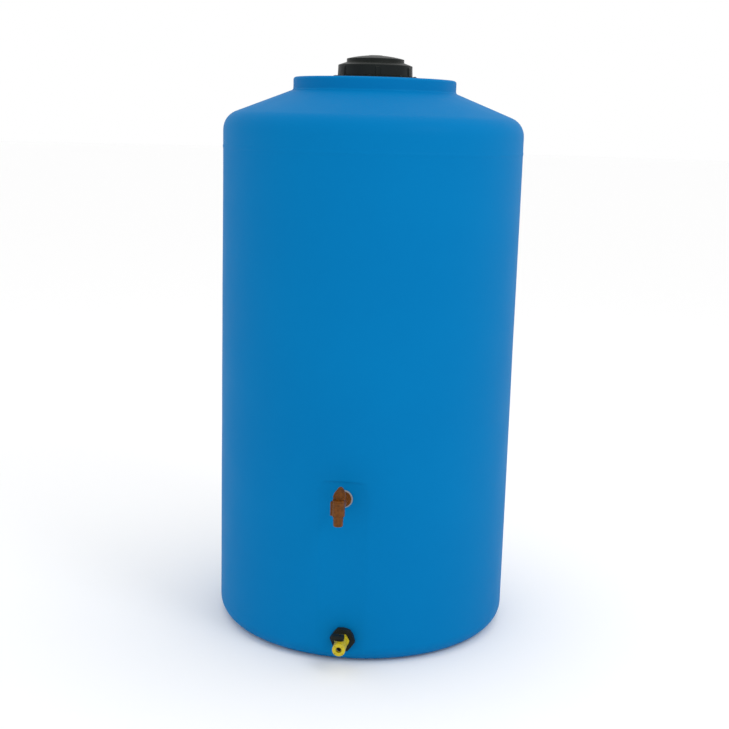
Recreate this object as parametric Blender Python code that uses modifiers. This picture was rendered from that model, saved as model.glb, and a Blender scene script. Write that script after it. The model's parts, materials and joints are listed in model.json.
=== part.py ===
"""Upright rotomoulded polyethylene water tank for livestock, with its fill lid, tap and drain valve.

The origin is the centre of the flat base, on the floor. +Z is up, and the fittings face -Y.
Lengths are in metres and angles in radians. Run with: blender --background --python part.py
"""

from math import atan2, ceil, cos, pi, radians, sin, sqrt, tan, tau

import bmesh
import bpy
from mathutils import Matrix, Vector

# ---- clearances ----
GAP = 0.0003            # between pieces that touch or seat on each other
FIT = 0.0002            # between an O-ring and the walls of its groove
THREAD_GAP = 0.0005     # radial, between the crests of the lid's and the neck's threads
THROUGH = 0.005         # how far a cutter runs past the face it leaves

# ---- edges of the moulded pieces ----
EDGE_R = 0.0015
SMALL_EDGE_R = 0.0009

# ---- tank ----
TANK_R = 0.457
TANK_WALL = 0.0055
BASE_CORNER_R = 0.052
COLLAR_R = 0.247
COLLAR_TOP = 1.6915     # height of the flat top that carries the neck
COLLAR_H = 0.0375
COLLAR_EDGE_R = 0.008
COLLAR_FOOT_R = 0.008
SHOULDER_SLOPE = radians(21.5)
SHOULDER_R = 0.060
BEAD_BELOW_SHOULDER = 0.090     # parting-line bead under the shoulder's corner
BEAD_H = 0.0018
BEAD_HALF_W = 0.004
PANEL_W = 0.140         # flat panel moulded down the front for the fittings
PANEL_ABOVE_TAP = 0.048
PANEL_LEDGE_SLOPE = radians(45)

# ---- neck and lid, heights above the collar's top ----
NECK_BORE_R = 0.095
NECK_WALL = 0.006
NECK_H = 0.0315
NECK_GASKET_T = 0.002
FLANGE_R = 0.128
FLANGE_T = 0.0045
SCREW_COUNT = 8
SCREW_R = 0.0022
SCREW_L = 0.018
SCREW_HEAD_R = 0.0045
SCREW_HEAD_H = 0.0022
THREAD_PITCH = 0.006
THREAD_TURNS = 1.5
THREAD_H = 0.0025
LID_R = 0.1125
LID_FLARE = 0.001       # how much the skirt widens to its foot
LID_SHOULDER_H = 0.0395
LID_GASKET_T = 0.0025
CROWN_R = 0.087
CROWN_FOOT_H = 0.0485
CROWN_EDGE_H = 0.0585
CROWN_RISE = 0.0112     # of the domed top above the crown's edge
VENT_SEAT_RISE = 0.008  # of the dome's underside, and of the vent's seat above the crown's edge
LID_WALL = 0.0045
LID_EDGE_R = 0.0022
LUG_COUNT = 6
LUG_W = 0.016
LUG_H = 0.0025
LUG_TURN = radians(-79)

# ---- vent in the lid's crown ----
VENT_R = 0.012
VENT_WALL = 0.002
VENT_DEPTH = 0.0125
VENT_RECESS_R = 0.024   # of the sunk seat in the crown
VENT_FLANGE_R = 0.0195
VENT_FLANGE_T = 0.001
VENT_BARB = 0.0015
VENT_CAP_R = 0.022
VENT_CAP_T = 0.0012
VENT_AIR = 0.0007
VENT_PEGS = 4
VENT_PEG_R = 0.0011
SCREEN_T = 0.0006
SCREEN_HOLE_R = 0.0008

# ---- tap, measured from the panel's face and from the shank's axis ----
TAP_X = 0.001
TAP_Z = 0.505
TAP_REACH = 0.100       # panel's face to the plug's axis
SHANK_R = 0.0125
SHANK_TAIL = 0.019      # length inside the tank
TAP_WATERWAY_R = 0.0075
TAP_WASHER_R = 0.0262
TAP_WASHER_T = 0.003
TAP_FLANGE_R = 0.0225
TAP_FLANGE_T = 0.004
BARREL_R = 0.0135
SLEEVE_WALL = 0.003
SLEEVE_UP = 0.023
SLEEVE_DOWN = 0.0195
STOP_H = 0.0045         # how far the stop rib stands out from the sleeve
STOP_W = 0.012
STOP_STEP = 0.001       # how far the rib ends short of the sleeve's ends
PLUG_R = 0.015
PLUG_LEDGE = 0.0025      # how far the plug's head overhangs the plug
PLUG_HEAD_T = 0.004
SPOUT_R = 0.0145
SPOUT_TIP_R = 0.0135
SPOUT_DOWN = 0.0485
SPOUT_BORE_R = 0.0085
SNAP_BEAD = 0.0015      # how far the spout's bead stands out under the sleeve
TAP_RING_R = 0.0009
TAP_RING_UP = 0.0135
TAP_RING_DOWN = 0.0115
FIN_X = 0.002           # the fin stands off the plug's axis
FIN_LEAN = 0.003        # and its top leans further that way
FIN_W = 0.036
FIN_TOP_W = 0.017
FIN_ROOT_W = 0.028
FIN_WAIST_H = 0.0095    # height of the fin's widest place
FIN_H = 0.038
FIN_T = 0.009
FIN_ARC_FROM = radians(25)
FIN_BULGE = 0.0028      # how far each side swells out from a straight line
FIN_RIM = 0.0036
FIN_RECESS = 0.0028
TAP_NUT_AF = 0.036
TAP_NUT_T = 0.008
TAP_INNER_WASHER_R = 0.020
TAP_INNER_WASHER_T = 0.0025

# ---- bulkhead fitting and drain valve, measured from the panel's face ----
OUTLET_X = 0.009
OUTLET_Z = 0.079
BULK_AF = 0.066
BULK_HEAD_TURN = radians(-6)
BULK_T = 0.014
BULK_SHANK_R = 0.024
BULK_GASKET_R = 0.0335
BULK_GASKET_T = 0.003
BULK_WASHER_R = 0.034
BULK_WASHER_T = 0.002
BULK_NUT_T = 0.012
BULK_TAIL = 0.004       # shank left past the nut
BULK_BORE_R = 0.011
INLET_R = 0.013
INLET_L = 0.016
VALVE_R = 0.0185
VALVE_FRONT = 0.088
VALVE_FLATS_AF = 0.0385
VALVE_FLATS_L = 0.010
VALVE_WATERWAY_R = 0.008
BALL_R = 0.0125
BALL_BORE_R = 0.0075
BALL_OUT = 0.063        # panel's face to the ball's centre
SEAT_MARGIN = 0.003     # how far a seat stands out past the ball
SEAT_STEP = 0.0008      # how much wider a seat's bore is than the ball's
SEAT_LAP = 0.0006       # how far a seat's lip reaches along the ball
SEAT_T = 0.003
END_CAP_T = 0.0087
END_CAP_R = 0.0189
END_CAP_BORE_R = 0.0085
BOSS_R = 0.0095
BOSS_UP = 0.0200
STEM_R = 0.005
STEM_STEP = 0.0008      # how far the stem's foot stands out under the boss
STEM_FOOT_T = 0.0011
STEM_DRIVE = 0.006      # across the flats of the square that turns the handle
STEM_DRIVE_H = 0.0075
STEM_RING_R = 0.0008
TANG_L = 0.008
TANG_T = 0.003
TANG_H = 0.0027
HANDLE_LONG_ARM = 0.024
HANDLE_SHORT_ARM = 0.0118
HANDLE_D = 0.0222
HANDLE_H = 0.015
HANDLE_HUB_R = 0.0105
HANDLE_UNDERCUT = 0.0006
HANDLE_CORNER_R = 0.003
HANDLE_SCREW_R = 0.0014
HANDLE_SCREW_L = 0.013
HANDLE_SCREW_HEAD_R = 0.0034
HANDLE_SCREW_HEAD_H = 0.0018

# ---- facets ----
TANK_STEPS = 40
NECK_STEPS = 32
ROUND_STEPS = 16
SMALL_STEPS = 8
CROWN_RINGS = 2
O_RING_SIDES = 6
ARC_STEP = radians(30)

# ---- places that follow from the sizes ----
PANEL_Y = -sqrt(TANK_R**2 - (PANEL_W / 2) ** 2)
PANEL_TOP = TAP_Z + PANEL_ABOVE_TAP
CONE_TOP = COLLAR_TOP - COLLAR_H
SHOULDER_Z = CONE_TOP - (TANK_R - COLLAR_R) * tan(SHOULDER_SLOPE)
BEAD_Z = SHOULDER_Z - BEAD_BELOW_SHOULDER
NECK_R = NECK_BORE_R + NECK_WALL
FLANGE_FOOT = NECK_GASKET_T + 2 * GAP
FLANGE_TOP = FLANGE_FOOT + FLANGE_T
SCREW_CIRCLE = (FLANGE_R + LID_R + LID_FLARE) / 2
SCREW_HOLE_R = SCREW_R + GAP
LID_BORE_R = NECK_R + 2 * THREAD_H + THREAD_GAP
LID_FOOT = FLANGE_TOP + 3 * GAP
LID_CEILING = NECK_H + LID_GASKET_T + 2 * GAP
VENT_HOLE_R = VENT_R + GAP
VENT_SEAT = CROWN_EDGE_H + VENT_SEAT_RISE
VENT_FLANGE_TOP = VENT_SEAT + GAP + VENT_FLANGE_T
VENT_CAP_FOOT = VENT_FLANGE_TOP + VENT_AIR
VENT_PEG_CIRCLE = (VENT_R + VENT_FLANGE_R) / 2
SHANK_HOLE_R = SHANK_R + GAP
SLEEVE_R = PLUG_R + SLEEVE_WALL
STOP_OUT = SLEEVE_R + STOP_H
PLUG_HEAD_R = PLUG_R + PLUG_LEDGE
SLEEVE_BORE_R = (PLUG_R + GAP) / cos(pi / ROUND_STEPS)      # the gap holds at the facets
FIN_FOOT = SLEEVE_UP + GAP + PLUG_HEAD_T
BULK_HEAD_FOOT = BULK_GASKET_T + 2 * GAP
BULK_HEAD_FACE = BULK_HEAD_FOOT + BULK_T
BULK_HOLE_R = BULK_SHANK_R + GAP
INLET_BORE_R = INLET_R + GAP
BODY_REAR = BULK_HEAD_FACE + GAP
BODY_FRONT = VALVE_FRONT - END_CAP_T - GAP
SEAT_R = BALL_R + SEAT_MARGIN
SEAT_BORE_R = BALL_BORE_R + SEAT_STEP
SEAT_MEETS = sqrt((BALL_R + GAP) ** 2 - SEAT_BORE_R**2)     # where a seat's bore meets the ball
SEAT_NEAR = SEAT_MEETS - SEAT_LAP
SEAT_FACE = SEAT_NEAR + SEAT_T
CAVITY_R = SEAT_R + GAP
CAVITY_REAR = BALL_OUT - SEAT_FACE - GAP
STEM_BORE_R = (STEM_R + GAP) / cos(pi / ROUND_STEPS)
STEM_FOOT_R = STEM_R + STEM_STEP
STEM_FOOT_Z = BALL_R + GAP
HANDLE_FOOT = BOSS_UP + GAP
HANDLE_TOP = HANDLE_FOOT + HANDLE_H
STEM_TOP = BOSS_UP + STEM_DRIVE_H


# ---- shapes ----

def outline(corners):
    """Corner points (r, z) or (r, z, fillet radius), with the filleted ones turned into arcs."""
    points = []
    for i, corner in enumerate(corners):
        here = Vector(corner[:2])
        if len(corner) == 2:
            points.append(here)
            continue
        radius = corner[2]
        before = (Vector(corners[i - 1][:2]) - here).normalized()
        after = (Vector(corners[(i + 1) % len(corners)][:2]) - here).normalized()
        half = before.angle(after) / 2
        centre = here + (before + after).normalized() * radius / sin(half)
        start = here + before * radius / tan(half) - centre
        end = here + after * radius / tan(half) - centre
        turn = atan2(start.x * end.y - start.y * end.x, start.dot(end))
        count = max(2, ceil(abs(turn) / ARC_STEP))
        for k in range(count + 1):
            c, s = cos(turn * k / count), sin(turn * k / count)
            points.append(centre + Vector((start.x * c - start.y * s, start.x * s + start.y * c)))
    return points


def mesh_object(name, mesh, group):
    thing = bpy.data.objects.new(name, mesh)
    group.objects.link(thing)
    return thing


def turned(name, corners, steps, group, closed=False):
    """A profile turned about Z. It runs down its outer side; a closed one is a ring."""
    points = outline(corners)
    last = len(points) if closed else len(points) - 1
    edges = [(i, (i + 1) % len(points)) for i in range(last)]
    mesh = bpy.data.meshes.new(name)
    mesh.from_pydata([(p.x, 0, p.y) for p in points], edges, [])
    thing = mesh_object(name, mesh, group)
    screw = thing.modifiers.new("turn", "SCREW")
    screw.axis = "Z"
    screw.steps = screw.render_steps = steps
    screw.use_merge_vertices = True
    screw.merge_threshold = 0.00001
    screw.use_smooth_shade = True
    return thing


def ring(name, r_in, r_out, foot, top, steps, group):
    corners = [(r_in, foot), (r_in, top), (r_out, top), (r_out, foot)]
    return turned(name, corners, steps, group, closed=True)


def o_ring(name, section_r, ring_r, z, group):
    """A torus, round in section."""
    mesh = bpy.data.meshes.new(name)
    angles = [-tau * k / O_RING_SIDES for k in range(O_RING_SIDES)]
    points = [(ring_r + section_r * cos(a), 0, z + section_r * sin(a)) for a in angles]
    edges = [(i, (i + 1) % O_RING_SIDES) for i in range(O_RING_SIDES)]
    mesh.from_pydata(points, edges, [])
    thing = mesh_object(name, mesh, group)
    screw = thing.modifiers.new("turn", "SCREW")
    screw.axis = "Z"
    screw.steps = screw.render_steps = ROUND_STEPS
    screw.use_merge_vertices = True
    screw.merge_threshold = 0.00001
    screw.use_smooth_shade = True
    return thing


def prism(name, radius, foot, top, sides, group, turn=0.0):
    """An upright prism or cylinder, from foot to top along its own Z."""
    bm = bmesh.new()
    place = Matrix.Translation((0, 0, (foot + top) / 2)) @ Matrix.Rotation(turn, 4, "Z")
    bmesh.ops.create_cone(
        bm, cap_ends=True, segments=sides, radius1=radius, radius2=radius,
        depth=top - foot, matrix=place,
    )
    mesh = bpy.data.meshes.new(name)
    bm.to_mesh(mesh)
    bm.free()
    return mesh_object(name, mesh, group)


def hexagon(name, across_flats, foot, top, group, turn=0.0):
    """A hexagonal prism with a corner towards +X, or turned from there, and chamfered ends."""
    thing = prism(name, across_flats / sqrt(3), foot, top, 6, group, turn=radians(30) + turn)
    soften(thing, EDGE_R, 1)
    return thing


def box(name, low, high, group):
    bm = bmesh.new()
    low, high = Vector(low), Vector(high)
    size = Matrix.Diagonal((*(high - low), 1))
    bmesh.ops.create_cube(bm, size=1, matrix=Matrix.Translation((low + high) / 2) @ size)
    mesh = bpy.data.meshes.new(name)
    bm.to_mesh(mesh)
    bm.free()
    return mesh_object(name, mesh, group)


def plate(name, points, thickness, group):
    """A flat outline in X and Z, half its thickness to each side of Y = 0, as a mesh."""
    curve = bpy.data.curves.new(name, "CURVE")
    curve.dimensions = "2D"
    curve.fill_mode = "BOTH"
    curve.extrude = thickness / 2
    spline = curve.splines.new("POLY")
    spline.points.add(len(points) - 1)
    for point, place in zip(spline.points, points):
        point.co = (place[0], place[1], 0, 1)
    spline.use_cyclic_u = True
    return as_mesh(name, curve, group, Matrix.Rotation(pi / 2, 4, "X"))


def helix(name, ring_r, section_r, start_z, group):
    """A right-hand helical rod with the thread's pitch and turns, as a mesh."""
    count = int(NECK_STEPS * THREAD_TURNS)
    curve = bpy.data.curves.new(name, "CURVE")
    curve.dimensions = "3D"
    curve.bevel_depth = section_r
    curve.bevel_resolution = 1
    curve.use_fill_caps = True
    spline = curve.splines.new("POLY")
    spline.points.add(count)
    for k, point in enumerate(spline.points):
        angle = tau * (k + 0.5) / NECK_STEPS
        height = start_z + THREAD_PITCH * k / NECK_STEPS
        point.co = (ring_r * cos(angle), ring_r * sin(angle), height, 1)
    return as_mesh(name, curve, group, Matrix.Identity(4))


def as_mesh(name, curve, group, place):
    """A curve's shape as a closed mesh, so that Booleans can use it."""
    guide = bpy.data.objects.new(name + "_curve", curve)
    bpy.context.scene.collection.objects.link(guide)
    bpy.context.view_layer.update()
    shape = guide.evaluated_get(bpy.context.evaluated_depsgraph_get())
    mesh = bpy.data.meshes.new_from_object(shape)
    mesh.name = name
    bm = bmesh.new()
    bm.from_mesh(mesh)
    bmesh.ops.remove_doubles(bm, verts=bm.verts, dist=0.00001)
    bmesh.ops.recalc_face_normals(bm, faces=bm.faces)
    bmesh.ops.transform(bm, matrix=place, verts=bm.verts)
    bm.to_mesh(mesh)
    bm.free()
    bpy.data.objects.remove(guide)
    return mesh_object(name, mesh, group)


def soften(thing, width, segments, angle=radians(40)):
    bevel = thing.modifiers.new("soften", "BEVEL")
    bevel.width = width
    bevel.segments = segments
    bevel.limit_method = "ANGLE"
    bevel.angle_limit = angle


def boolean(thing, other, operation):
    """Cut other away from thing, or join it on. Other is then only a guide."""
    step = thing.modifiers.new(operation.lower(), "BOOLEAN")
    step.operation = operation
    step.object = other
    other.hide_render = True
    other.display_type = "WIRE"


def cut(thing, *others):
    for other in others:
        boolean(thing, other, "DIFFERENCE")


def join(thing, *others):
    for other in others:
        boolean(thing, other, "UNION")


def copies_around(name, radius, count, make, group, turn=0.0):
    """One mesh of count shapes around Z, each made by make(bm, matrix)."""
    bm = bmesh.new()
    for k in range(count):
        angle = turn + tau * k / count
        make(bm, Matrix.Rotation(angle, 4, "Z") @ Matrix.Translation((radius, 0, 0)))
    mesh = bpy.data.meshes.new(name)
    bm.to_mesh(mesh)
    bm.free()
    return mesh_object(name, mesh, group)


def rod_maker(radius, foot, top):
    """Makes one upright rod in a bmesh, for copies_around."""
    def make(bm, place):
        lift = Matrix.Translation((0, 0, (foot + top) / 2))
        bmesh.ops.create_cone(
            bm, cap_ends=True, segments=SMALL_STEPS, radius1=radius, radius2=radius,
            depth=top - foot, matrix=place @ lift,
        )
    return make


def block_maker(size, z):
    """Makes one block in a bmesh, for copies_around. Size is radial, across and high."""
    def make(bm, place):
        scaled = Matrix.Translation((0, 0, z)) @ Matrix.Diagonal((*size, 1))
        bmesh.ops.create_cube(bm, size=1, matrix=place @ scaled)
    return make


def finish(name, colour, roughness, metallic=0.0):
    material = bpy.data.materials.new(name)
    material.use_nodes = True
    shader = material.node_tree.nodes["Principled BSDF"]
    shader.inputs["Base Color"].default_value = (*colour, 1)
    shader.inputs["Roughness"].default_value = roughness
    shader.inputs["Metallic"].default_value = metallic
    material.diffuse_color = (*colour, 1)
    return material


def paint(material, *things):
    for thing in things:
        thing.data.materials.clear()
        thing.data.materials.append(material)


def place(parent, *things):
    for thing in things:
        thing.parent = parent


def marker(name, location, rotation=(0, 0, 0)):
    empty = bpy.data.objects.new(name, None)
    empty.location = location
    empty.rotation_euler = rotation
    parts.objects.link(empty)
    return empty


# ---- tank ----

def tank_profile(wall):
    """The tank's outline from its top to its base, moved in by the wall. The neck's hole is cut."""
    lean = wall * tan(SHOULDER_SLOPE / 2)
    return [
        (0, COLLAR_TOP - wall),
        (COLLAR_R - wall, COLLAR_TOP - wall, COLLAR_EDGE_R - wall / 2),
        (COLLAR_R - wall, CONE_TOP - wall / cos(SHOULDER_SLOPE) + wall * tan(SHOULDER_SLOPE),
         COLLAR_FOOT_R + wall / 2),
        (TANK_R - wall, SHOULDER_Z - lean, SHOULDER_R - wall),
    ]


def make_tank():
    bead = [
        (TANK_R, BEAD_Z + BEAD_HALF_W),
        (TANK_R + BEAD_H, BEAD_Z + BEAD_HALF_W / 3),
        (TANK_R + BEAD_H, BEAD_Z - BEAD_HALF_W / 3),
        (TANK_R, BEAD_Z - BEAD_HALF_W),
    ]
    base = [(TANK_R, 0, BASE_CORNER_R), (0, 0)]
    tank = turned("tank_shell", tank_profile(0) + bead + base, TANK_STEPS, parts)
    cut(tank, panel_cutter("panel_cut", 0))

    inner_base = [
        (TANK_R - TANK_WALL, TANK_WALL, BASE_CORNER_R - TANK_WALL),
        (0, TANK_WALL),
    ]
    hollow = turned("tank_hollow", tank_profile(TANK_WALL) + inner_base, TANK_STEPS, cutters)
    cut(hollow, panel_cutter("panel_inner_cut", TANK_WALL))

    opening = prism(
        "neck_opening", NECK_BORE_R + GAP, COLLAR_TOP - TANK_WALL - THROUGH,
        COLLAR_TOP + THROUGH, NECK_STEPS, cutters,
    )
    screw_holes = copies_around(
        "screw_pilots", SCREW_CIRCLE, SCREW_COUNT,
        rod_maker(SCREW_HOLE_R, COLLAR_TOP - TANK_WALL - THROUGH, COLLAR_TOP + THROUGH), cutters,
    )
    tap_hole = prism("tap_hole", SHANK_HOLE_R, -TANK_WALL - THROUGH, THROUGH, ROUND_STEPS, cutters)
    outlet_hole = prism(
        "outlet_hole", BULK_HOLE_R, -TANK_WALL - THROUGH, THROUGH, ROUND_STEPS, cutters
    )
    for hole, x, z in ((tap_hole, TAP_X, TAP_Z), (outlet_hole, OUTLET_X, OUTLET_Z)):
        hole.location = (x, PANEL_Y, z)
        hole.rotation_euler = OUTWARD
    cut(tank, hollow, opening, screw_holes, tap_hole, outlet_hole)
    paint(BLUE, tank)


def panel_cutter(name, wall):
    """Everything in front of the flat panel, up to its sloped ledge."""
    face = PANEL_Y + wall
    front = -TANK_R - THROUGH
    rise = (face - front) * tan(PANEL_LEDGE_SLOPE)
    top = PANEL_TOP - wall * tan(PANEL_LEDGE_SLOPE / 2)
    half = TANK_R / 2
    block = box(name, (-half, front, -THROUGH), (half, face, top), cutters)
    for vertex in block.data.vertices:
        if vertex.co.y < face - THROUGH / 2 and vertex.co.z > 0:
            vertex.co.z += rise
    return block


# ---- neck ring ----

def make_neck():
    flange = turned("neck_ring", [
        (NECK_BORE_R, FLANGE_FOOT),
        (NECK_BORE_R, NECK_H),
        (NECK_R, NECK_H),
        (NECK_R, FLANGE_TOP),
        (FLANGE_R, FLANGE_TOP, EDGE_R),
        (FLANGE_R, FLANGE_FOOT),
    ], NECK_STEPS, parts, closed=True)
    thread_start = (FLANGE_TOP + NECK_H - THREAD_PITCH * THREAD_TURNS) / 2
    thread = helix("neck_thread", NECK_R, THREAD_H, thread_start, cutters)
    join(flange, thread)

    gasket = ring(
        "neck_gasket", NECK_BORE_R + GAP, FLANGE_R - EDGE_R,
        GAP, GAP + NECK_GASKET_T, NECK_STEPS, parts,
    )
    holes = copies_around(
        "flange_holes", SCREW_CIRCLE, SCREW_COUNT,
        rod_maker(SCREW_HOLE_R, -THROUGH, FLANGE_TOP + THROUGH), cutters,
    )
    cut(flange, holes)
    cut(gasket, holes)
    place(COLLAR, flange, gasket, thread, holes)
    paint(BLACK, flange)
    paint(RUBBER, gasket)


def make_neck_screws():
    """Pan-head screws that hold the neck ring on the collar. All share one mesh."""
    head_top = FLANGE_TOP + GAP + SCREW_HEAD_H
    first = turned("neck_screw_1", [
        (0, head_top),
        (SCREW_HEAD_R, head_top, SCREW_HEAD_H / 2),
        (SCREW_HEAD_R, FLANGE_TOP + GAP),
        (SCREW_R, FLANGE_TOP + GAP),
        (SCREW_R, head_top - SCREW_L),
        (0, head_top - SCREW_L - SCREW_R),
    ], SMALL_STEPS, parts)
    paint(DARK_STEEL, first)
    for k in range(SCREW_COUNT):
        angle = tau * k / SCREW_COUNT
        screw = first
        if k:
            screw = first.copy()
            screw.name = f"neck_screw_{k + 1}"
            parts.objects.link(screw)
        screw.location = (SCREW_CIRCLE * cos(angle), SCREW_CIRCLE * sin(angle), 0)
        screw.rotation_euler = (0, 0, angle)
        place(COLLAR, screw)


# ---- lid and vent ----

def crown_height(r, rise, drop=0.0):
    """Height at radius r of a spherical dome on the crown's edge, or of a surface that far under it."""
    ball = (CROWN_R**2 + rise**2) / (2 * rise)
    return CROWN_EDGE_H + rise - ball + sqrt((ball - drop) ** 2 - r**2)


def crown_rings(start, end):
    return [start + (end - start) * k / CROWN_RINGS for k in range(CROWN_RINGS + 1)]


def make_lid():
    inner_r = CROWN_R - LID_WALL
    inside = [
        (r, crown_height(r, VENT_SEAT_RISE, LID_WALL)) for r in crown_rings(inner_r, VENT_HOLE_R)
    ]
    outside = [(r, crown_height(r, CROWN_RISE)) for r in crown_rings(VENT_RECESS_R, inner_r)]
    lid = turned("lid", [
        (LID_BORE_R, LID_FOOT),
        (LID_BORE_R, LID_CEILING),
        (inner_r, LID_CEILING),
        *inside,
        (VENT_HOLE_R, VENT_SEAT),
        (VENT_RECESS_R, VENT_SEAT),
        *outside,
        (CROWN_R, CROWN_EDGE_H, LID_EDGE_R),
        (CROWN_R, CROWN_FOOT_H, LID_EDGE_R),
        (LID_R, LID_SHOULDER_H, LID_EDGE_R),
        (LID_R + LID_FLARE, LID_FOOT),
    ], NECK_STEPS, parts, closed=True)
    lug_high = LID_SHOULDER_H - LID_WALL - LID_FOOT
    lug_deep = (LID_R - LID_BORE_R) / 2 + LID_FLARE + LUG_H
    lug_circle = LID_R + LID_FLARE + LUG_H - lug_deep / 2
    lugs = copies_around(
        "lid_lugs", lug_circle, LUG_COUNT,
        block_maker((lug_deep, LUG_W, lug_high), LID_FOOT + lug_high / 2), cutters, LUG_TURN,
    )
    soften(lugs, SMALL_EDGE_R, 1)
    thread_start = (LID_FOOT + LID_CEILING - THREAD_PITCH * THREAD_TURNS) / 2
    thread = helix("lid_thread", LID_BORE_R, THREAD_H, thread_start, cutters)
    join(lid, lugs, thread)
    gasket = ring(
        "lid_gasket", NECK_BORE_R + GAP, LID_BORE_R - THREAD_H - THREAD_GAP,
        NECK_H + GAP, NECK_H + GAP + LID_GASKET_T, NECK_STEPS, parts,
    )
    place(COLLAR, lid, gasket, lugs, thread)
    paint(BLACK, lid)
    paint(RUBBER, gasket)


def make_vent():
    """A screened breather that snaps into a sunk seat in the crown, under a low cap."""
    tube_foot = VENT_SEAT - VENT_DEPTH
    under_crown = crown_height(0, VENT_SEAT_RISE, LID_WALL) - 2 * GAP
    bore = VENT_R - VENT_WALL
    ledge = bore - 2 * VENT_BARB
    body = turned("vent_body", [
        (ledge, tube_foot),
        (ledge, tube_foot + VENT_FLANGE_T),
        (bore, tube_foot + VENT_FLANGE_T),
        (bore, VENT_FLANGE_TOP),
        (VENT_FLANGE_R, VENT_FLANGE_TOP),
        (VENT_FLANGE_R, VENT_SEAT + GAP),
        (VENT_R, VENT_SEAT + GAP),
        (VENT_R, under_crown),
        (VENT_R + VENT_BARB, under_crown - VENT_FLANGE_T / 2),
        (VENT_R, under_crown - 3 * VENT_BARB),
        (VENT_R, tube_foot),
    ], ROUND_STEPS, parts, closed=True)
    cap_in = VENT_FLANGE_R + 2 * GAP
    cap = turned("vent_cap", [
        (0, VENT_CAP_FOOT + VENT_CAP_T),
        (VENT_CAP_R, VENT_CAP_FOOT + VENT_CAP_T, VENT_CAP_T / 2),
        (VENT_CAP_R, VENT_SEAT + VENT_FLANGE_T),
        (cap_in, VENT_SEAT + VENT_FLANGE_T),
        (cap_in, VENT_CAP_FOOT),
        (0, VENT_CAP_FOOT),
    ], ROUND_STEPS, parts)
    pegs = copies_around(
        "vent_pegs", VENT_PEG_CIRCLE, VENT_PEGS,
        rod_maker(VENT_PEG_R, VENT_SEAT + 2 * GAP, VENT_CAP_FOOT + VENT_CAP_T / 2), cutters,
    )
    peg_holes = copies_around(
        "vent_peg_holes", VENT_PEG_CIRCLE, VENT_PEGS,
        rod_maker(VENT_PEG_R + FIT, VENT_SEAT - THROUGH / 5, VENT_CAP_FOOT + THROUGH), cutters,
    )
    join(cap, pegs)
    cut(body, peg_holes)
    screen_foot = tube_foot + VENT_FLANGE_T + GAP
    screen = prism(
        "vent_screen", bore - GAP, screen_foot, screen_foot + SCREEN_T, ROUND_STEPS, parts
    )
    for k in range(2):
        holes = copies_around(
            f"screen_holes_{k}", (bore - VENT_WALL) * (k + 1) / 2, 6 * (k + 1),
            screen_hole_maker(screen_foot), cutters,
        )
        cut(screen, holes)
        place(COLLAR, holes)
    place(COLLAR, body, cap, screen, pegs, peg_holes)
    paint(BLACK, body, cap)
    paint(STEEL, screen)


def screen_hole_maker(foot):
    def make(bm, where):
        lift = Matrix.Translation((0, 0, foot + SCREEN_T / 2))
        bmesh.ops.create_cone(
            bm, cap_ends=True, segments=6, radius1=SCREEN_HOLE_R, radius2=SCREEN_HOLE_R,
            depth=THROUGH, matrix=where @ lift,
        )
    return make


# ---- tap ----

def make_tap():
    """Plug-type tap: the plug, its spout and its fin handle turn in the body's sleeve."""
    seat = marker("tap_seat", (TAP_X, PANEL_Y, TAP_Z), OUTWARD)
    axis = marker("tap_axis", (TAP_X, PANEL_Y - TAP_REACH, TAP_Z))

    flange_foot = TAP_WASHER_T + 2 * GAP
    flange_face = flange_foot + TAP_FLANGE_T
    tail = -TANK_WALL - SHANK_TAIL
    barrel_end = TAP_REACH - BARREL_R
    body = turned("tap_body", [
        (0, barrel_end),
        (BARREL_R, barrel_end),
        (BARREL_R, flange_face, EDGE_R),
        (TAP_FLANGE_R, flange_face, SMALL_EDGE_R),
        (TAP_FLANGE_R, flange_foot),
        (SHANK_R, flange_foot),
        (SHANK_R, tail),
        (0, tail),
    ], ROUND_STEPS, parts)
    sleeve = turned("tap_sleeve", [
        (0, SLEEVE_UP),
        (SLEEVE_R, SLEEVE_UP, EDGE_R),
        (SLEEVE_R, -SLEEVE_DOWN, EDGE_R),
        (0, -SLEEVE_DOWN),
    ], ROUND_STEPS, cutters)
    bore = prism(
        "tap_bore", SLEEVE_BORE_R, -SLEEVE_DOWN - THROUGH, SLEEVE_UP + THROUGH, ROUND_STEPS,
        cutters, turn=pi / ROUND_STEPS,
    )
    waterway = prism(
        "tap_waterway", TAP_WATERWAY_R, tail - THROUGH, barrel_end + GAP, ROUND_STEPS, cutters
    )
    stop_rib = box(
        "tap_stop_rib", (-STOP_OUT, -STOP_W / 2, STOP_STEP - SLEEVE_DOWN),
        (0, STOP_W / 2, SLEEVE_UP - STOP_STEP), cutters,
    )
    soften(stop_rib, EDGE_R, 1)
    join(body, sleeve, stop_rib)
    cut(body, bore, waterway)
    place(seat, body, waterway)
    place(axis, sleeve, stop_rib, bore)

    washer = ring(
        "tap_outer_washer", SHANK_HOLE_R, TAP_WASHER_R, GAP, GAP + TAP_WASHER_T, ROUND_STEPS, parts
    )
    inner_top = -TANK_WALL - GAP
    inner_foot = inner_top - TAP_INNER_WASHER_T
    inner_washer = ring(
        "tap_inner_washer", SHANK_HOLE_R, TAP_INNER_WASHER_R, inner_foot, inner_top, ROUND_STEPS,
        parts,
    )
    nut_top = inner_foot - GAP
    nut = hexagon("tap_lock_nut", TAP_NUT_AF, nut_top - TAP_NUT_T, nut_top, parts)
    nut_bore = prism(
        "tap_nut_bore", SHANK_HOLE_R, nut_top - TAP_NUT_T - THROUGH, nut_top + THROUGH,
        ROUND_STEPS, cutters,
    )
    cut(nut, nut_bore)
    place(seat, washer, inner_washer, nut, nut_bore)
    make_tap_plug(axis)
    paint(BROWN, body)
    paint(GREY, washer)
    paint(RUBBER, inner_washer)
    paint(BROWN, nut)


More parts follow.
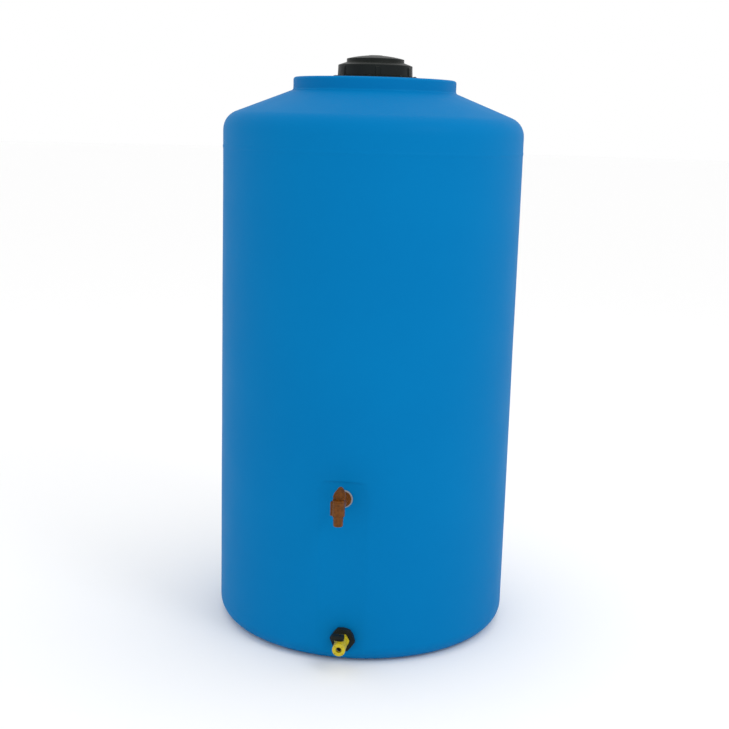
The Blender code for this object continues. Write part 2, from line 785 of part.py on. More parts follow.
def make_tap_plug(axis):
    groove = PLUG_R - 2 * TAP_RING_R
    half = TAP_RING_R + FIT

    def groove_at(z):
        return [(PLUG_R, z + half), (groove, z + half), (groove, z - half), (PLUG_R, z - half)]

    foot = -SLEEVE_DOWN - GAP
    plug = turned("tap_plug", [
        (0, FIN_FOOT),
        (PLUG_HEAD_R, FIN_FOOT, SMALL_EDGE_R),
        (PLUG_HEAD_R, SLEEVE_UP + GAP),
        (PLUG_R, SLEEVE_UP + GAP),
        *groove_at(TAP_RING_UP),
        *groove_at(-TAP_RING_DOWN),
        (PLUG_R, foot),
        (PLUG_R + SNAP_BEAD, foot),
        (SPOUT_R, foot - 2 * SNAP_BEAD),
        (SPOUT_TIP_R, -SPOUT_DOWN, EDGE_R),
        (0, -SPOUT_DOWN),
    ], ROUND_STEPS, parts)
    fin = plate("tap_fin", fin_outline(0), FIN_T, cutters)
    soften(fin, EDGE_R, 1, radians(60))
    recesses = [
        plate(f"tap_fin_recess_{side}", fin_outline(FIN_RIM), FIN_RECESS * 2, cutters)
        for side in ("front", "back")
    ]
    recesses[0].location.y = -FIN_T / 2
    recesses[1].location.y = FIN_T / 2
    spout_bore = prism(
        "tap_spout_bore", SPOUT_BORE_R, -SPOUT_DOWN - THROUGH, TAP_WATERWAY_R, ROUND_STEPS, cutters
    )
    port = prism("tap_port", TAP_WATERWAY_R - GAP, 0, SLEEVE_R, ROUND_STEPS, cutters)
    port.rotation_euler = (0, pi / 2, 0)
    join(plug, fin)
    cut(plug, *recesses, spout_bore, port)
    section_at = PLUG_R - TAP_RING_R + FIT / 2
    rings = [
        o_ring(f"tap_o_ring_{name}", TAP_RING_R, section_at, z, parts)
        for name, z in (("upper", TAP_RING_UP), ("lower", -TAP_RING_DOWN))
    ]
    place(axis, plug, fin, spout_bore, port, *recesses, *rings)
    paint(BROWN, plug)
    paint(RUBBER, *rings)


def fin_outline(inset):
    """The fin handle's face, narrow at its round top. Moved in by inset, it has a pointed foot."""
    top_r = FIN_TOP_W / 2 - inset
    centre = FIN_FOOT + FIN_H - FIN_TOP_W / 2
    waist = FIN_FOOT + FIN_WAIST_H
    half = FIN_W / 2 - inset
    count = ceil(pi / ARC_STEP)
    turns = [FIN_ARC_FROM + (pi - 2 * FIN_ARC_FROM) * k / count for k in range(count + 1)]
    arc = [
        (FIN_X + FIN_LEAN + top_r * cos(turn), centre + top_r * sin(turn)) for turn in turns
    ]
    swell = (half + top_r) / 2 + FIN_BULGE
    middle_x, middle_z = FIN_X + FIN_LEAN / 2, (waist + centre) / 2
    right = [(FIN_X + half, waist), (middle_x + swell, middle_z)]
    left = [(middle_x - swell, middle_z), (FIN_X - half, waist)]
    sides = [*right, *arc, *left]
    if inset:
        return [*sides, (FIN_X, FIN_FOOT + inset)]
    foot = FIN_FOOT - PLUG_HEAD_T / 2
    root = FIN_ROOT_W / 2
    return [(root, foot), *sides, (-root, foot)]


# ---- bulkhead fitting ----

def make_bulkhead():
    seat = marker("outlet_seat", (OUTLET_X, PANEL_Y, OUTLET_Z), OUTWARD)
    washer_top = -TANK_WALL - GAP
    washer_foot = washer_top - BULK_WASHER_T
    nut_top = washer_foot - GAP
    nut_foot = nut_top - BULK_NUT_T
    tail = nut_foot - BULK_TAIL

    body = hexagon(
        "bulkhead_body", BULK_AF, BULK_HEAD_FOOT, BULK_HEAD_FACE, parts, BULK_HEAD_TURN
    )
    shank = prism(
        "bulkhead_shank", BULK_SHANK_R, tail, BULK_HEAD_FOOT + THROUGH / 2, ROUND_STEPS, cutters
    )
    socket = prism(
        "bulkhead_socket", INLET_BORE_R, BODY_REAR - INLET_L - GAP, BULK_HEAD_FACE + THROUGH,
        ROUND_STEPS, cutters,
    )
    waterway = prism(
        "bulkhead_waterway", BULK_BORE_R, tail - THROUGH, BULK_HEAD_FACE, ROUND_STEPS, cutters
    )
    join(body, shank)
    cut(body, socket, waterway)

    gasket = ring(
        "bulkhead_gasket", BULK_HOLE_R, BULK_GASKET_R, GAP, GAP + BULK_GASKET_T, ROUND_STEPS, parts
    )
    washer = ring(
        "bulkhead_slip_washer", BULK_HOLE_R, BULK_WASHER_R, washer_foot, washer_top, ROUND_STEPS,
        parts,
    )
    nut = hexagon("bulkhead_nut", BULK_AF, nut_foot, nut_top, parts)
    nut_bore = prism(
        "bulkhead_nut_bore", BULK_HOLE_R, nut_foot - THROUGH, nut_top + THROUGH, ROUND_STEPS,
        cutters,
    )
    cut(nut, nut_bore)
    place(seat, body, shank, socket, waterway, gasket, washer, nut, nut_bore)
    paint(BLACK, body, nut, washer)
    paint(RUBBER, gasket)
    return seat


# ---- drain valve ----

def make_valve_body(seat, stem_axis):
    inlet_end = BODY_REAR - INLET_L
    body = turned("valve_body", [
        (0, BODY_FRONT),
        (VALVE_R, BODY_FRONT, SMALL_EDGE_R),
        (VALVE_R, BODY_REAR),
        (INLET_R, BODY_REAR),
        (INLET_R, inlet_end),
        (0, inlet_end),
    ], ROUND_STEPS, parts)
    flats = hexagon(
        "valve_flats", VALVE_FLATS_AF, BODY_REAR, BODY_REAR + VALVE_FLATS_L, cutters
    )
    boss = prism("valve_boss", BOSS_R, 0, BOSS_UP, ROUND_STEPS, cutters)
    cavity = prism("valve_cavity", CAVITY_R, CAVITY_REAR, VALVE_FRONT, ROUND_STEPS, cutters)
    waterway = prism(
        "valve_waterway", VALVE_WATERWAY_R, inlet_end - THROUGH, BALL_OUT, ROUND_STEPS, cutters
    )
    stem_bore = prism("valve_stem_bore", STEM_BORE_R, 0, BOSS_UP + THROUGH, ROUND_STEPS, cutters)
    join(body, flats, boss)
    cut(body, cavity, waterway, stem_bore)
    place(seat, body, flats, cavity, waterway)
    place(stem_axis, boss, stem_bore)
    paint(YELLOW, body)


def make_valve_trim(seat):
    """The two seats and the end cap that holds them against the ball."""
    lip_r = sqrt((BALL_R + GAP) ** 2 - SEAT_NEAR**2) + GAP / 2
    outlet = turned("valve_seat_outlet", [
        (SEAT_BORE_R, BALL_OUT + SEAT_MEETS),
        (SEAT_BORE_R, BALL_OUT + SEAT_FACE),
        (SEAT_R, BALL_OUT + SEAT_FACE),
        (SEAT_R, BALL_OUT + SEAT_NEAR),
        (lip_r, BALL_OUT + SEAT_NEAR),
    ], ROUND_STEPS, parts, closed=True)
    inlet = turned("valve_seat_inlet", [
        (lip_r, BALL_OUT - SEAT_NEAR),
        (SEAT_R, BALL_OUT - SEAT_NEAR),
        (SEAT_R, BALL_OUT - SEAT_FACE),
        (SEAT_BORE_R, BALL_OUT - SEAT_FACE),
        (SEAT_BORE_R, BALL_OUT - SEAT_MEETS),
    ], ROUND_STEPS, parts, closed=True)
    cap_foot = BODY_FRONT + GAP
    cap = turned("valve_end_cap", [
        (END_CAP_BORE_R, BALL_OUT + SEAT_FACE + GAP),
        (END_CAP_BORE_R, VALVE_FRONT),
        (END_CAP_R, VALVE_FRONT, EDGE_R),
        (END_CAP_R, cap_foot, SMALL_EDGE_R),
        (SEAT_R, cap_foot),
        (SEAT_R, BALL_OUT + SEAT_FACE + GAP),
    ], ROUND_STEPS, parts, closed=True)
    place(seat, outlet, inlet, cap)
    paint(WHITE, outlet, inlet)
    paint(YELLOW, cap)


def make_valve_ball(stem_axis):
    """Ball with its bore across the flow, as it stands when the valve is shut."""
    bm = bmesh.new()
    bmesh.ops.create_uvsphere(bm, u_segments=ROUND_STEPS, v_segments=12, radius=BALL_R)
    mesh = bpy.data.meshes.new("valve_ball")
    bm.to_mesh(mesh)
    bm.free()
    ball = mesh_object("valve_ball", mesh, parts)
    bore = prism("ball_bore", BALL_BORE_R, -BALL_R - THROUGH, BALL_R + THROUGH, ROUND_STEPS, cutters)
    bore.rotation_euler = (0, pi / 2, 0)
    slot_half = TANG_T / 2 + GAP
    slot_foot = STEM_FOOT_Z - TANG_H - GAP
    slot = box(
        "ball_slot", (-BALL_R, -slot_half, slot_foot), (BALL_R, slot_half, BALL_R + THROUGH), cutters
    )
    cut(ball, bore, slot)
    place(stem_axis, ball, bore, slot)
    paint(BLACK, ball)


def make_valve_stem(stem_axis):
    groove = STEM_R - 2 * STEM_RING_R
    half = STEM_RING_R + FIT
    shaft_foot = STEM_FOOT_Z + STEM_FOOT_T
    ring_z = (shaft_foot + BOSS_UP) / 2
    stem = turned("valve_stem", [
        (0, BOSS_UP),
        (STEM_R, BOSS_UP),
        (STEM_R, ring_z + half),
        (groove, ring_z + half),
        (groove, ring_z - half),
        (STEM_R, ring_z - half),
        (STEM_R, shaft_foot),
        (STEM_FOOT_R, shaft_foot),
        (STEM_FOOT_R, STEM_FOOT_Z),
        (0, STEM_FOOT_Z),
    ], ROUND_STEPS, parts)
    drive = box(
        "stem_drive", (-STEM_DRIVE / 2, -STEM_DRIVE / 2, BOSS_UP - STEM_DRIVE_H / 8),
        (STEM_DRIVE / 2, STEM_DRIVE / 2, STEM_TOP), cutters,
    )
    tang = box(
        "stem_tang", (-TANG_L / 2, -TANG_T / 2, STEM_FOOT_Z - TANG_H),
        (TANG_L / 2, TANG_T / 2, STEM_FOOT_Z + STEM_FOOT_T / 2), cutters,
    )
    screw_end = HANDLE_TOP + GAP + HANDLE_SCREW_HEAD_H - HANDLE_SCREW_L
    pilot = prism(
        "stem_pilot", HANDLE_SCREW_R + GAP, screw_end - 2 * GAP, STEM_TOP + THROUGH, SMALL_STEPS,
        cutters,
    )
    join(stem, drive, tang)
    cut(stem, pilot)
    seal = o_ring("valve_stem_o_ring", STEM_RING_R, STEM_R - STEM_RING_R + FIT / 2, ring_z, parts)
    place(stem_axis, stem, drive, tang, pilot, seal)
    paint(WHITE, stem)
    paint(RUBBER, seal)


def make_valve_handle(stem_axis):
    """Lever handle: its long arm lies across the flow when the valve is shut."""
    handle = box(
        "valve_handle", (-HANDLE_LONG_ARM, -HANDLE_D / 2, HANDLE_FOOT + HANDLE_UNDERCUT),
        (HANDLE_SHORT_ARM, HANDLE_D / 2, HANDLE_TOP), parts,
    )
    soften(handle, HANDLE_CORNER_R, 2)
    hub = turned("handle_hub", [
        (0, HANDLE_TOP - GAP),
        (HANDLE_HUB_R, HANDLE_TOP - GAP, EDGE_R),
        (HANDLE_HUB_R, HANDLE_FOOT),
        (0, HANDLE_FOOT),
    ], ROUND_STEPS, cutters)
    drive = STEM_DRIVE / 2 + GAP
    socket = box(
        "handle_socket", (-drive, -drive, HANDLE_FOOT - THROUGH), (drive, drive, STEM_TOP + GAP),
        cutters,
    )
    screw_hole = prism(
        "handle_screw_hole", HANDLE_SCREW_R + GAP, STEM_TOP, HANDLE_TOP + THROUGH, SMALL_STEPS,
        cutters,
    )
    join(handle, hub)
    cut(handle, socket, screw_hole)
    head_foot = HANDLE_TOP + GAP
    head_top = head_foot + HANDLE_SCREW_HEAD_H
    screw = turned("valve_handle_screw", [
        (0, head_top),
        (HANDLE_SCREW_HEAD_R, head_top, HANDLE_SCREW_HEAD_H / 2),
        (HANDLE_SCREW_HEAD_R, head_foot),
        (HANDLE_SCREW_R, head_foot),
        (HANDLE_SCREW_R, head_top - HANDLE_SCREW_L),
        (0, head_top - HANDLE_SCREW_L),
    ], SMALL_STEPS, parts)
    place(stem_axis, handle, hub, socket, screw_hole, screw)
    paint(BLACK, handle)
    paint(DARK_STEEL, screw)


# ---- build ----

for old in list(bpy.data.objects):
    bpy.data.objects.remove(old)

parts = bpy.data.collections.new("livestock_water_tank")
cutters = bpy.data.collections.new("cutters")
bpy.context.scene.collection.children.link(parts)
bpy.context.scene.collection.children.link(cutters)

OUTWARD = (pi / 2, 0, 0)    # turns a piece's +Z out of the panel, to -Y

BLUE = finish("blue_polyethylene", (0.0, 0.18, 0.46), 0.45)
BLACK = finish("black_polypropylene", (0.012, 0.013, 0.012), 0.5)
BROWN = finish("brown_tap_plastic", (0.17, 0.06, 0.018), 0.35)
YELLOW = finish("yellow_valve_plastic", (0.62, 0.50, 0.03), 0.35)
RUBBER = finish("black_rubber", (0.02, 0.02, 0.02), 0.8)
GREY = finish("grey_rubber", (0.28, 0.28, 0.28), 0.7)
WHITE = finish("white_plastic", (0.8, 0.8, 0.78), 0.3)
STEEL = finish("stainless_steel", (0.6, 0.6, 0.6), 0.3, 1.0)
DARK_STEEL = finish("blackened_steel", (0.03, 0.03, 0.03), 0.4, 1.0)

COLLAR = marker("collar_axis", (0, 0, COLLAR_TOP))
make_tank()
make_neck()
make_neck_screws()
make_lid()
make_vent()
make_tap()
outlet_seat = make_bulkhead()
valve_axis = marker("valve_stem_axis", (OUTLET_X, PANEL_Y - BALL_OUT, OUTLET_Z))
make_valve_body(outlet_seat, valve_axis)
make_valve_trim(outlet_seat)
make_valve_ball(valve_axis)
make_valve_stem(valve_axis)
make_valve_handle(valve_axis)
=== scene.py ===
"""Looks of the livestock water tank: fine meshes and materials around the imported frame.

Each piece stands for one CAD node and keeps its size. Places come from the frame's boxes and
joints. Lengths are in metres and angles in radians.
"""
import json
from math import atan2, ceil, cos, pi, radians, sin, sqrt, tan, tau

import bmesh
import bpy
import numpy as np
from mathutils import Matrix, Vector


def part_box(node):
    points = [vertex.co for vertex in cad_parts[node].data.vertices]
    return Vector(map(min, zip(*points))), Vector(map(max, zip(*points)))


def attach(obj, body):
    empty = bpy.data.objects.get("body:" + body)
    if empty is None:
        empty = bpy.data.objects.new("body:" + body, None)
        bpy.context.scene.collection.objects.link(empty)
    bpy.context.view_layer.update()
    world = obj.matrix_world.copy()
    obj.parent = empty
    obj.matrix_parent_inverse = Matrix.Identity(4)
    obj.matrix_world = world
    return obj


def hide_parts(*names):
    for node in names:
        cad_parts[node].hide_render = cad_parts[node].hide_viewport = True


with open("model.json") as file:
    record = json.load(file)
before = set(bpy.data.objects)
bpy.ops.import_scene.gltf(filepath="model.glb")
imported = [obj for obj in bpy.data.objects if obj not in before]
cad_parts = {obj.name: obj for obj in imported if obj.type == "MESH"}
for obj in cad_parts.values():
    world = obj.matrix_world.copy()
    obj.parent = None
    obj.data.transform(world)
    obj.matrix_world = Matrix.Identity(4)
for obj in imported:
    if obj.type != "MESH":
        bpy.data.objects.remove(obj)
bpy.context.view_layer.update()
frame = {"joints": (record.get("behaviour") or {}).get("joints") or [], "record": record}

# ---- places from the frame ----
GAP = 0.0003
JOINT = {joint["name"]: joint.get("pos_m") for joint in frame["joints"]}
BODY_OF = {
    node: body for body, nodes in frame["record"]["behaviour"]["bodies"].items() for node in nodes
}
SLOT_OF = {part["node"]: part["material_slot"] for part in frame["record"]["subparts"]}

COLLAR_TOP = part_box("tank_shell")[1].z
PANEL_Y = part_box("tap_outer_washer")[1].y + GAP
TAP_X, TAP_Y, TAP_Z = JOINT["tap_plug_turn"]
OUTLET_X, STEM_Y, OUTLET_Z = JOINT["valve_handle_turn"]

OUTWARD = Matrix.Rotation(pi / 2, 4, "X")       # turns a piece's +Z out of the panel, to -Y
ON_COLLAR = Matrix.Translation((0, 0, COLLAR_TOP))
ON_TAP_SEAT = Matrix.Translation((TAP_X, PANEL_Y, TAP_Z)) @ OUTWARD
ON_TAP_AXIS = Matrix.Translation((TAP_X, TAP_Y, TAP_Z))
ON_OUTLET = Matrix.Translation((OUTLET_X, PANEL_Y, OUTLET_Z)) @ OUTWARD
ON_STEM = Matrix.Translation((OUTLET_X, STEM_Y, OUTLET_Z))

# ---- how finely curves are drawn ----
ARC_STEP = radians(10)
ROUND = 96
SMALL = 40
HEX_SIDES = 144
NECK_SIDES = 160
TANK_SIDES = 192
PANEL_EDGE_STEP = radians(0.2)  # finer turns beside the panel's upright edges
PANEL_EDGE_REACH = radians(1.6)
THREAD_ROWS = 8                 # rows of faces in one pitch of a screw thread
RIDGE_ROW = 0.0005              # height of a row of faces under a raised thread
BEVEL_STEPS = 3
SMOOTH_BELOW = radians(32)
CLOSE = 1e-5                    # lengths this near each other count as the same
PAST = 0.005                    # how far a cutter reaches past what it cuts

# ---- tank ----
BEAD_H = 0.0018
BEAD_SHOWN_H = 0.0010   # shown lower and softer than in the CAD
TANK_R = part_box("tank_shell")[1].x - BEAD_H
TANK_WALL = 0.0055
BASE_CORNER_R = 0.052
COLLAR_R = 0.247
COLLAR_H = 0.0375
COLLAR_EDGE_R = 0.008
SHOULDER_SLOPE = radians(21.5)
SHOULDER_R = 0.060
BEAD_BELOW_SHOULDER = 0.090
BEAD_HALF_W = 0.008
BEAD_STEPS = 6
PANEL_W = 0.140
PANEL_ABOVE_TAP = 0.048
PANEL_TOP = TAP_Z + PANEL_ABOVE_TAP
PANEL_SIDE = 0.2        # the panel counts where the wall faces it by more than this
PANEL_SOFTNESS = 0.0009
LEDGE_SOFTNESS = 0.0035
LEDGE_LOW = PANEL_TOP - 0.008
LEDGE_HIGH = PANEL_TOP + 0.012
LEDGE_ROW = 0.001
LEDGE_ROW_INSIDE = 0.0025
SHOULDER_ROOM = 0.030   # height below the shoulder that its curve takes up
WAVE_H = 0.0005         # the wall's unevenness
WAVE_ROW = 0.028
WAVE_TOP = PANEL_TOP + 0.97
WAVE_FADE = 0.12
WAVE_OFF_PANEL = 0.968  # where the wall faces the panel by less, the waves begin
WAVE_SIDE_FADE = 0.03
WAVES = (               # times around, turn per metre up, start, share of the height
    (3, 4, 1, 1.0),
    (5, -9, 0, 0.6),
    (9, 17, 2, 0.35),
    (2, -23, 0, 0.3),
)

# ---- neck and lid, heights above the collar's top ----
NECK_BORE_R = 0.095
NECK_R = 0.101
NECK_H = 0.0315
NECK_RIM_ROOM = 0.0014  # height that the fillets at the neck's rim and foot take up
NECK_GASKET_T = 0.002
NECK_GASKET_INSET = 0.0015
FLANGE_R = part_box("neck_ring")[1].x
FLANGE_FOOT = 0.0026
FLANGE_TOP = 0.0071
SCREW_COUNT = 8
SCREW_R = 0.0022
SCREW_L = 0.018
SCREW_HEAD_R = 0.0045
SCREW_HEAD_H = 0.0022
SCREW_PITCH = 0.0013
SCREW_SPIN = 2.4        # each neck screw's recess is turned this much from the last one's
THREAD_PITCH = 0.006
THREAD_TURNS = 1.5
THREAD_H = 0.0024
THREAD_CREST = 0.0007
THREAD_FLANK = 0.0022
THREAD_RUNOUT = 0.06    # share of a turn in which a raised thread comes up from nothing
LID_R = 0.1125
LID_FLARE = 0.001
LID_BORE_R = 0.1065
LID_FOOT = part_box("lid")[0].z - COLLAR_TOP
LID_CEILING = 0.0346
LID_SHOULDER_H = 0.0395
LID_WALL = 0.0045
LID_EDGE_R = 0.0022
LID_CHAMFER = 0.0008
LID_CEILING_ROOM = 0.001    # height that the fillet under the ceiling takes up
LID_GASKET_T = 0.0025
LID_GASKET_CLEAR = 0.0006
CROWN_R = 0.087
CROWN_FOOT_H = 0.0485
CROWN_EDGE_H = 0.0585
CROWN_RISE = 0.0112
CROWN_RIM_W = 0.006         # the dome stops this far inside the crown's side
DOME_STEPS = 10
VENT_SEAT_RISE = 0.008
VENT_SEAT = CROWN_EDGE_H + VENT_SEAT_RISE
LUG_COUNT = 6
LUG_W = 0.016
LUG_H = 0.0023
LUG_EDGE = 0.0016
LUG_FADE = 0.0022
LUG_FINE_ABOVE = 0.0005     # the skirt's rows are this fine around the lugs' tops
LUG_FINE_BELOW = 0.0035
LUG_ROW = 0.0004
LUG_TURN = radians(-79)
VENT_R = 0.012
VENT_BORE_R = 0.010
VENT_INLET_R = 0.007
VENT_TUBE_L = 0.0125
VENT_CATCH_W = 0.0014
VENT_CATCH_ROOF = 0.0006
VENT_CATCH_L = 0.0045
VENT_RECESS_R = 0.024
VENT_FLANGE_R = 0.0195
VENT_FLANGE_T = 0.001
VENT_CAP_R = 0.022
VENT_CAP_FOOT = VENT_SEAT + 0.002
VENT_CAP_T = 0.0012
VENT_PEG_R = 0.0011
VENT_PEG_HOLE_R = 0.0013
VENT_PEG_COUNT = 4
SCREEN_T = 0.0006
SCREEN_HOLE_R = 0.0007
SCREEN_HOLE_SIDES = 12
SCREEN_PITCH = 0.0021
SCREEN_REACH = 4
SCREEN_RIM_W = 0.0022

# ---- tap, from the panel's face and from the shank's axis ----
TAP_REACH = PANEL_Y - TAP_Y
SHANK_R = 0.0125
SHANK_PITCH = 0.0018
SHANK_THREAD_D = 0.0009
SHANK_PAST_WALL = 0.019
PLAIN_END = 0.001       # length of shank without thread under a head
TAP_WATERWAY_R = 0.0075
BARREL_R = 0.0135
BARREL_FLARE = 0.002
BARREL_FLARE_FROM = 0.004
BARREL_FLARE_TO = 0.001
WAY_IN_SHORT = 0.001    # the cutter of the way in stops this far before the tap's axis
TAP_FLANGE_R = 0.0225
TAP_FLANGE_FOOT = 0.0036
TAP_FLANGE_FACE = 0.0076
TAP_WASHER_R = 0.0262
TAP_WASHER_T = 0.003
TAP_INNER_WASHER_R = 0.020
TAP_INNER_WASHER_T = 0.0025
TAP_NUT_AF = 0.036
TAP_NUT_T = 0.008
SLEEVE_R = 0.018
SLEEVE_UP = 0.023
SLEEVE_DOWN = 0.0195
STOP_OUT = 0.0225
STOP_W = 0.012
STOP_STEP = 0.001
PLUG_R = 0.015
PLUG_HEAD_R = 0.0175
PLUG_HEAD_T = 0.004
FIN_FOOT = SLEEVE_UP + GAP + PLUG_HEAD_T
FIN_X = 0.002
FIN_LEAN = 0.003
FIN_W = 0.036
FIN_TOP_W = 0.017
FIN_ROOT_W = 0.028
FIN_WAIST_H = 0.0095
FIN_H = 0.038
FIN_T = 0.009
FIN_ARC_FROM = radians(25)
FIN_ARC_STEPS = 14
FIN_BULGE = 0.0028
FIN_RIM = 0.0036
FIN_RECESS = 0.0028
SPOUT_R = 0.0145
SPOUT_TIP_R = 0.0135
SPOUT_DOWN = 0.0485
SPOUT_BORE_R = 0.0085
SPOUT_LIP_W = 0.0015
SPOUT_LIP_T = 0.003
RING_SIDES = 20
RING_STRETCH = 0.0001   # a ring's middle lies this far outside its groove's
GROOVE_SLACK = 0.0002
TAP_RING_R = 0.0009
TAP_RING_PLACES = {"tap_o_ring_upper": 0.0135, "tap_o_ring_lower": -0.0115}

# ---- drain, from the panel's face and from the outlet's axis ----
HEX_CORNER = 0.0012
HEX_CHAMFER = radians(30)
HEX_FACE = 0.49         # radius of a hexagon's plain face, as a share of its width
BULK_AF = 0.066
BULK_HEAD_TURN = radians(-6)
BULK_HEAD_FOOT = 0.0036
BULK_HEAD_FACE = 0.0176
BULK_SHANK_R = 0.024
BULK_PITCH = 0.0023
BULK_THREAD_D = 0.0011
BULK_BORE_R = 0.011
BULK_GROOVE_D = 0.0012
BULK_GROOVE = (0.42, 0.43, 0.465, 0.475)    # its radii, as shares of the head's width
BULK_HEAD_ROW = 0.002
BULK_GASKET_R = 0.0335
BULK_GASKET_T = 0.003
BULK_WASHER_R = 0.034
BULK_WASHER_T = 0.002
BULK_NUT_T = 0.012
BULK_TAIL = 0.004
INLET_R = 0.013
INLET_L = 0.016
BODY_REAR = BULK_HEAD_FACE + GAP
BODY_FRONT = 0.079
VALVE_R = 0.0185
VALVE_FRONT = 0.088
VALVE_FLATS_AF = 0.0385
VALVE_FLATS_L = 0.010
VALVE_STEP_BEFORE = 0.0005     # the flats turn round between these distances from their end
VALVE_STEP_AFTER = 0.0004
VALVE_REAR_CHAMFER = 0.0005
VALVE_WATERWAY_R = 0.008
BALL_R = 0.0125
BALL_BORE_R = 0.0075
BALL_OUT = PANEL_Y - STEM_Y
CAVITY_R = 0.0158
SEAT_R = 0.0155
SEAT_BORE_R = 0.0083
SEAT_T = 0.003
SEAT_LAP = 0.0006
END_CAP_R = 0.0189
END_CAP_BORE_R = 0.0085
END_CAP_MOUTH_W = 0.0020
END_CAP_MOUTH_D = 0.0012
END_SLOT_R = (0.0126, 0.0165)
END_SLOT_HALF_W = 0.0016
END_SLOT_D = 0.0022
END_SLOT_COUNT = 4
BOSS_R = 0.0095
BOSS_UP = 0.0200
STEM_R = 0.005
STEM_STEP = 0.0008
STEM_FOOT_T = 0.0011
STEM_DRIVE = 0.006
STEM_DRIVE_H = 0.0075
STEM_DRIVE_ROOT = 0.0009
STEM_RING_R = 0.0008
TANG = (0.008, 0.003, 0.0027)           # length, thickness, depth
TANG_ROOT = 0.0005
HANDLE_LONG_ARM = 0.024
HANDLE_SHORT_ARM = 0.0118
HANDLE_D = 0.0222
HANDLE_H = 0.015
HANDLE_HUB_R = 0.0105
HANDLE_UNDERCUT = 0.0006
HANDLE_CORNER_R = 0.003
HANDLE_BEVEL_STEPS = 5
HANDLE_FOOT = BOSS_UP + GAP
HANDLE_TOP = HANDLE_FOOT + HANDLE_H
HANDLE_SCREW_R = 0.0014
HANDLE_SCREW_L = 0.013
HANDLE_SCREW_PITCH = 0.0009
HANDLE_SCREW_HEAD_R = 0.0034
HANDLE_SCREW_HEAD_H = 0.0018

# ---- camera: the tank's axis is straight ahead of it, at this distance ----
CAMERA_TURN = radians(7.2)
CAMERA_BACK = 3.778
CAMERA_UP = 1.573
CAMERA_PAN = radians(0.12)
CAMERA_DIP = radians(11.449)
CAMERA_ROLL = radians(1.593)
CAMERA_LENS = 59.9
CAMERA_SENSOR = 36

# ---- studio ----
FLOOR_R = 60
FLOOR_SIDES = 64
FLOOR_DROP = 0.0005     # the floor lies this far under the base
FLOOR_WHITE = 0.985
MIDDLE = (0, 0, 0.9)    # where the lights aim


# ---- mesh tools ----

def outline(corners):
    """Corner points (r, z) or (r, z, fillet radius), with the filleted ones turned into arcs."""
    points = []
    for i, corner in enumerate(corners):
        here = Vector(corner[:2])
        if len(corner) == 2:
            points.append(here)
            continue
        radius = corner[2]
        before = (Vector(corners[i - 1][:2]) - here).normalized()
        after = (Vector(corners[(i + 1) % len(corners)][:2]) - here).normalized()
        half = before.angle(after) / 2
        centre = here + (before + after).normalized() * radius / sin(half)
        start = here + before * radius / tan(half) - centre
        end = here + after * radius / tan(half) - centre
        turn = atan2(start.x * end.y - start.y * end.x, start.dot(end))
        count = max(BEVEL_STEPS, ceil(abs(turn) / ARC_STEP))
        for k in range(count + 1):
            c, s = cos(turn * k / count), sin(turn * k / count)
            points.append(centre + Vector((start.x * c - start.y * s, start.x * s + start.y * c)))
    return points


def rows(r, start, end, spacing):
    """Extra points down or up a straight side, between its ends, for a shape that changes there."""
    count = ceil(abs(end - start) / spacing)
    return [(r, start + (end - start) * k / count) for k in range(1, count)]


def around(count, fine_at=(), fine_half=0.0, fine_step=0.0):
    """Angles once around, closer together near each of some angles."""
    angles = {round(tau * k / count, 6) for k in range(count)}
    for middle in fine_at:
        steps = round(fine_half / fine_step)
        angles |= {round((middle + fine_step * k) % tau, 6) for k in range(-steps, steps + 1)}
    return np.array(sorted(angles))


def new_object(name, mesh):
    thing = bpy.data.objects.new(name, mesh)
    bpy.context.scene.collection.objects.link(thing)
    return thing


def skin(name, radii, heights, angles, closed=False):
    """Rings of points around Z joined by faces. Each row of radii and heights is one ring."""
    across, along = radii * np.cos(angles), radii * np.sin(angles)
    points, rings = [], []
    for i, ring_radii in enumerate(radii):
        first = len(points)
        if ring_radii.max() < CLOSE:
            points.append((0.0, 0.0, heights[i][0]))
            rings.append([first] * len(angles))
        else:
            points.extend(zip(across[i].tolist(), along[i].tolist(), heights[i].tolist()))
            rings.append(list(range(first, len(points))))
    faces = []
    for i in range(len(rings) if closed else len(rings) - 1):
        here, after = rings[i], rings[(i + 1) % len(rings)]
        for j in range(len(angles)):
            k = (j + 1) % len(angles)
            faces.append(list(dict.fromkeys((here[j], after[j], after[k], here[k]))))
    mesh = bpy.data.meshes.new(name)
    mesh.from_pydata(points, [], faces)
    return new_object(name, mesh)


def revolve(name, corners, angles=None, shape=None, closed=False):
    """A profile turned about Z, running down its outer side. Shape may change each point."""
    angles = around(ROUND) if angles is None else angles
    points = outline(corners)
    size = (len(points), len(angles))
    radii = np.broadcast_to(np.array([[p.x] for p in points]), size)
    heights = np.broadcast_to(np.array([[p.y] for p in points]), size)
    if shape:
        radii, heights = shape(angles[None, :], radii, heights)
    return skin(name, radii, heights, angles, closed)


def ring(name, r_in, r_out, foot, top, edge=0.0004):
    corners = [(r_in, foot, edge), (r_in, top, edge), (r_out, top, edge), (r_out, foot, edge)]
    return revolve(name, corners, closed=True)


def rod(name, radius, foot, top, sides=ROUND):
    corners = [(0, top), (radius, top), (radius, foot), (0, foot)]
    return revolve(name, corners, angles=around(sides))


def block(name, low, high, edge=0.0, segments=BEVEL_STEPS):
    """A box whose edges are rounded by the edge radius."""
    bm = bmesh.new()
    low, high = Vector(low), Vector(high)
    size = Matrix.Diagonal((*(high - low), 1))
    bmesh.ops.create_cube(bm, size=1, matrix=Matrix.Translation((low + high) / 2) @ size)
    if edge:
        bmesh.ops.bevel(
            bm, geom=bm.edges, offset=edge, segments=segments, profile=0.5, affect="EDGES"
        )
    return bm_object(name, bm)


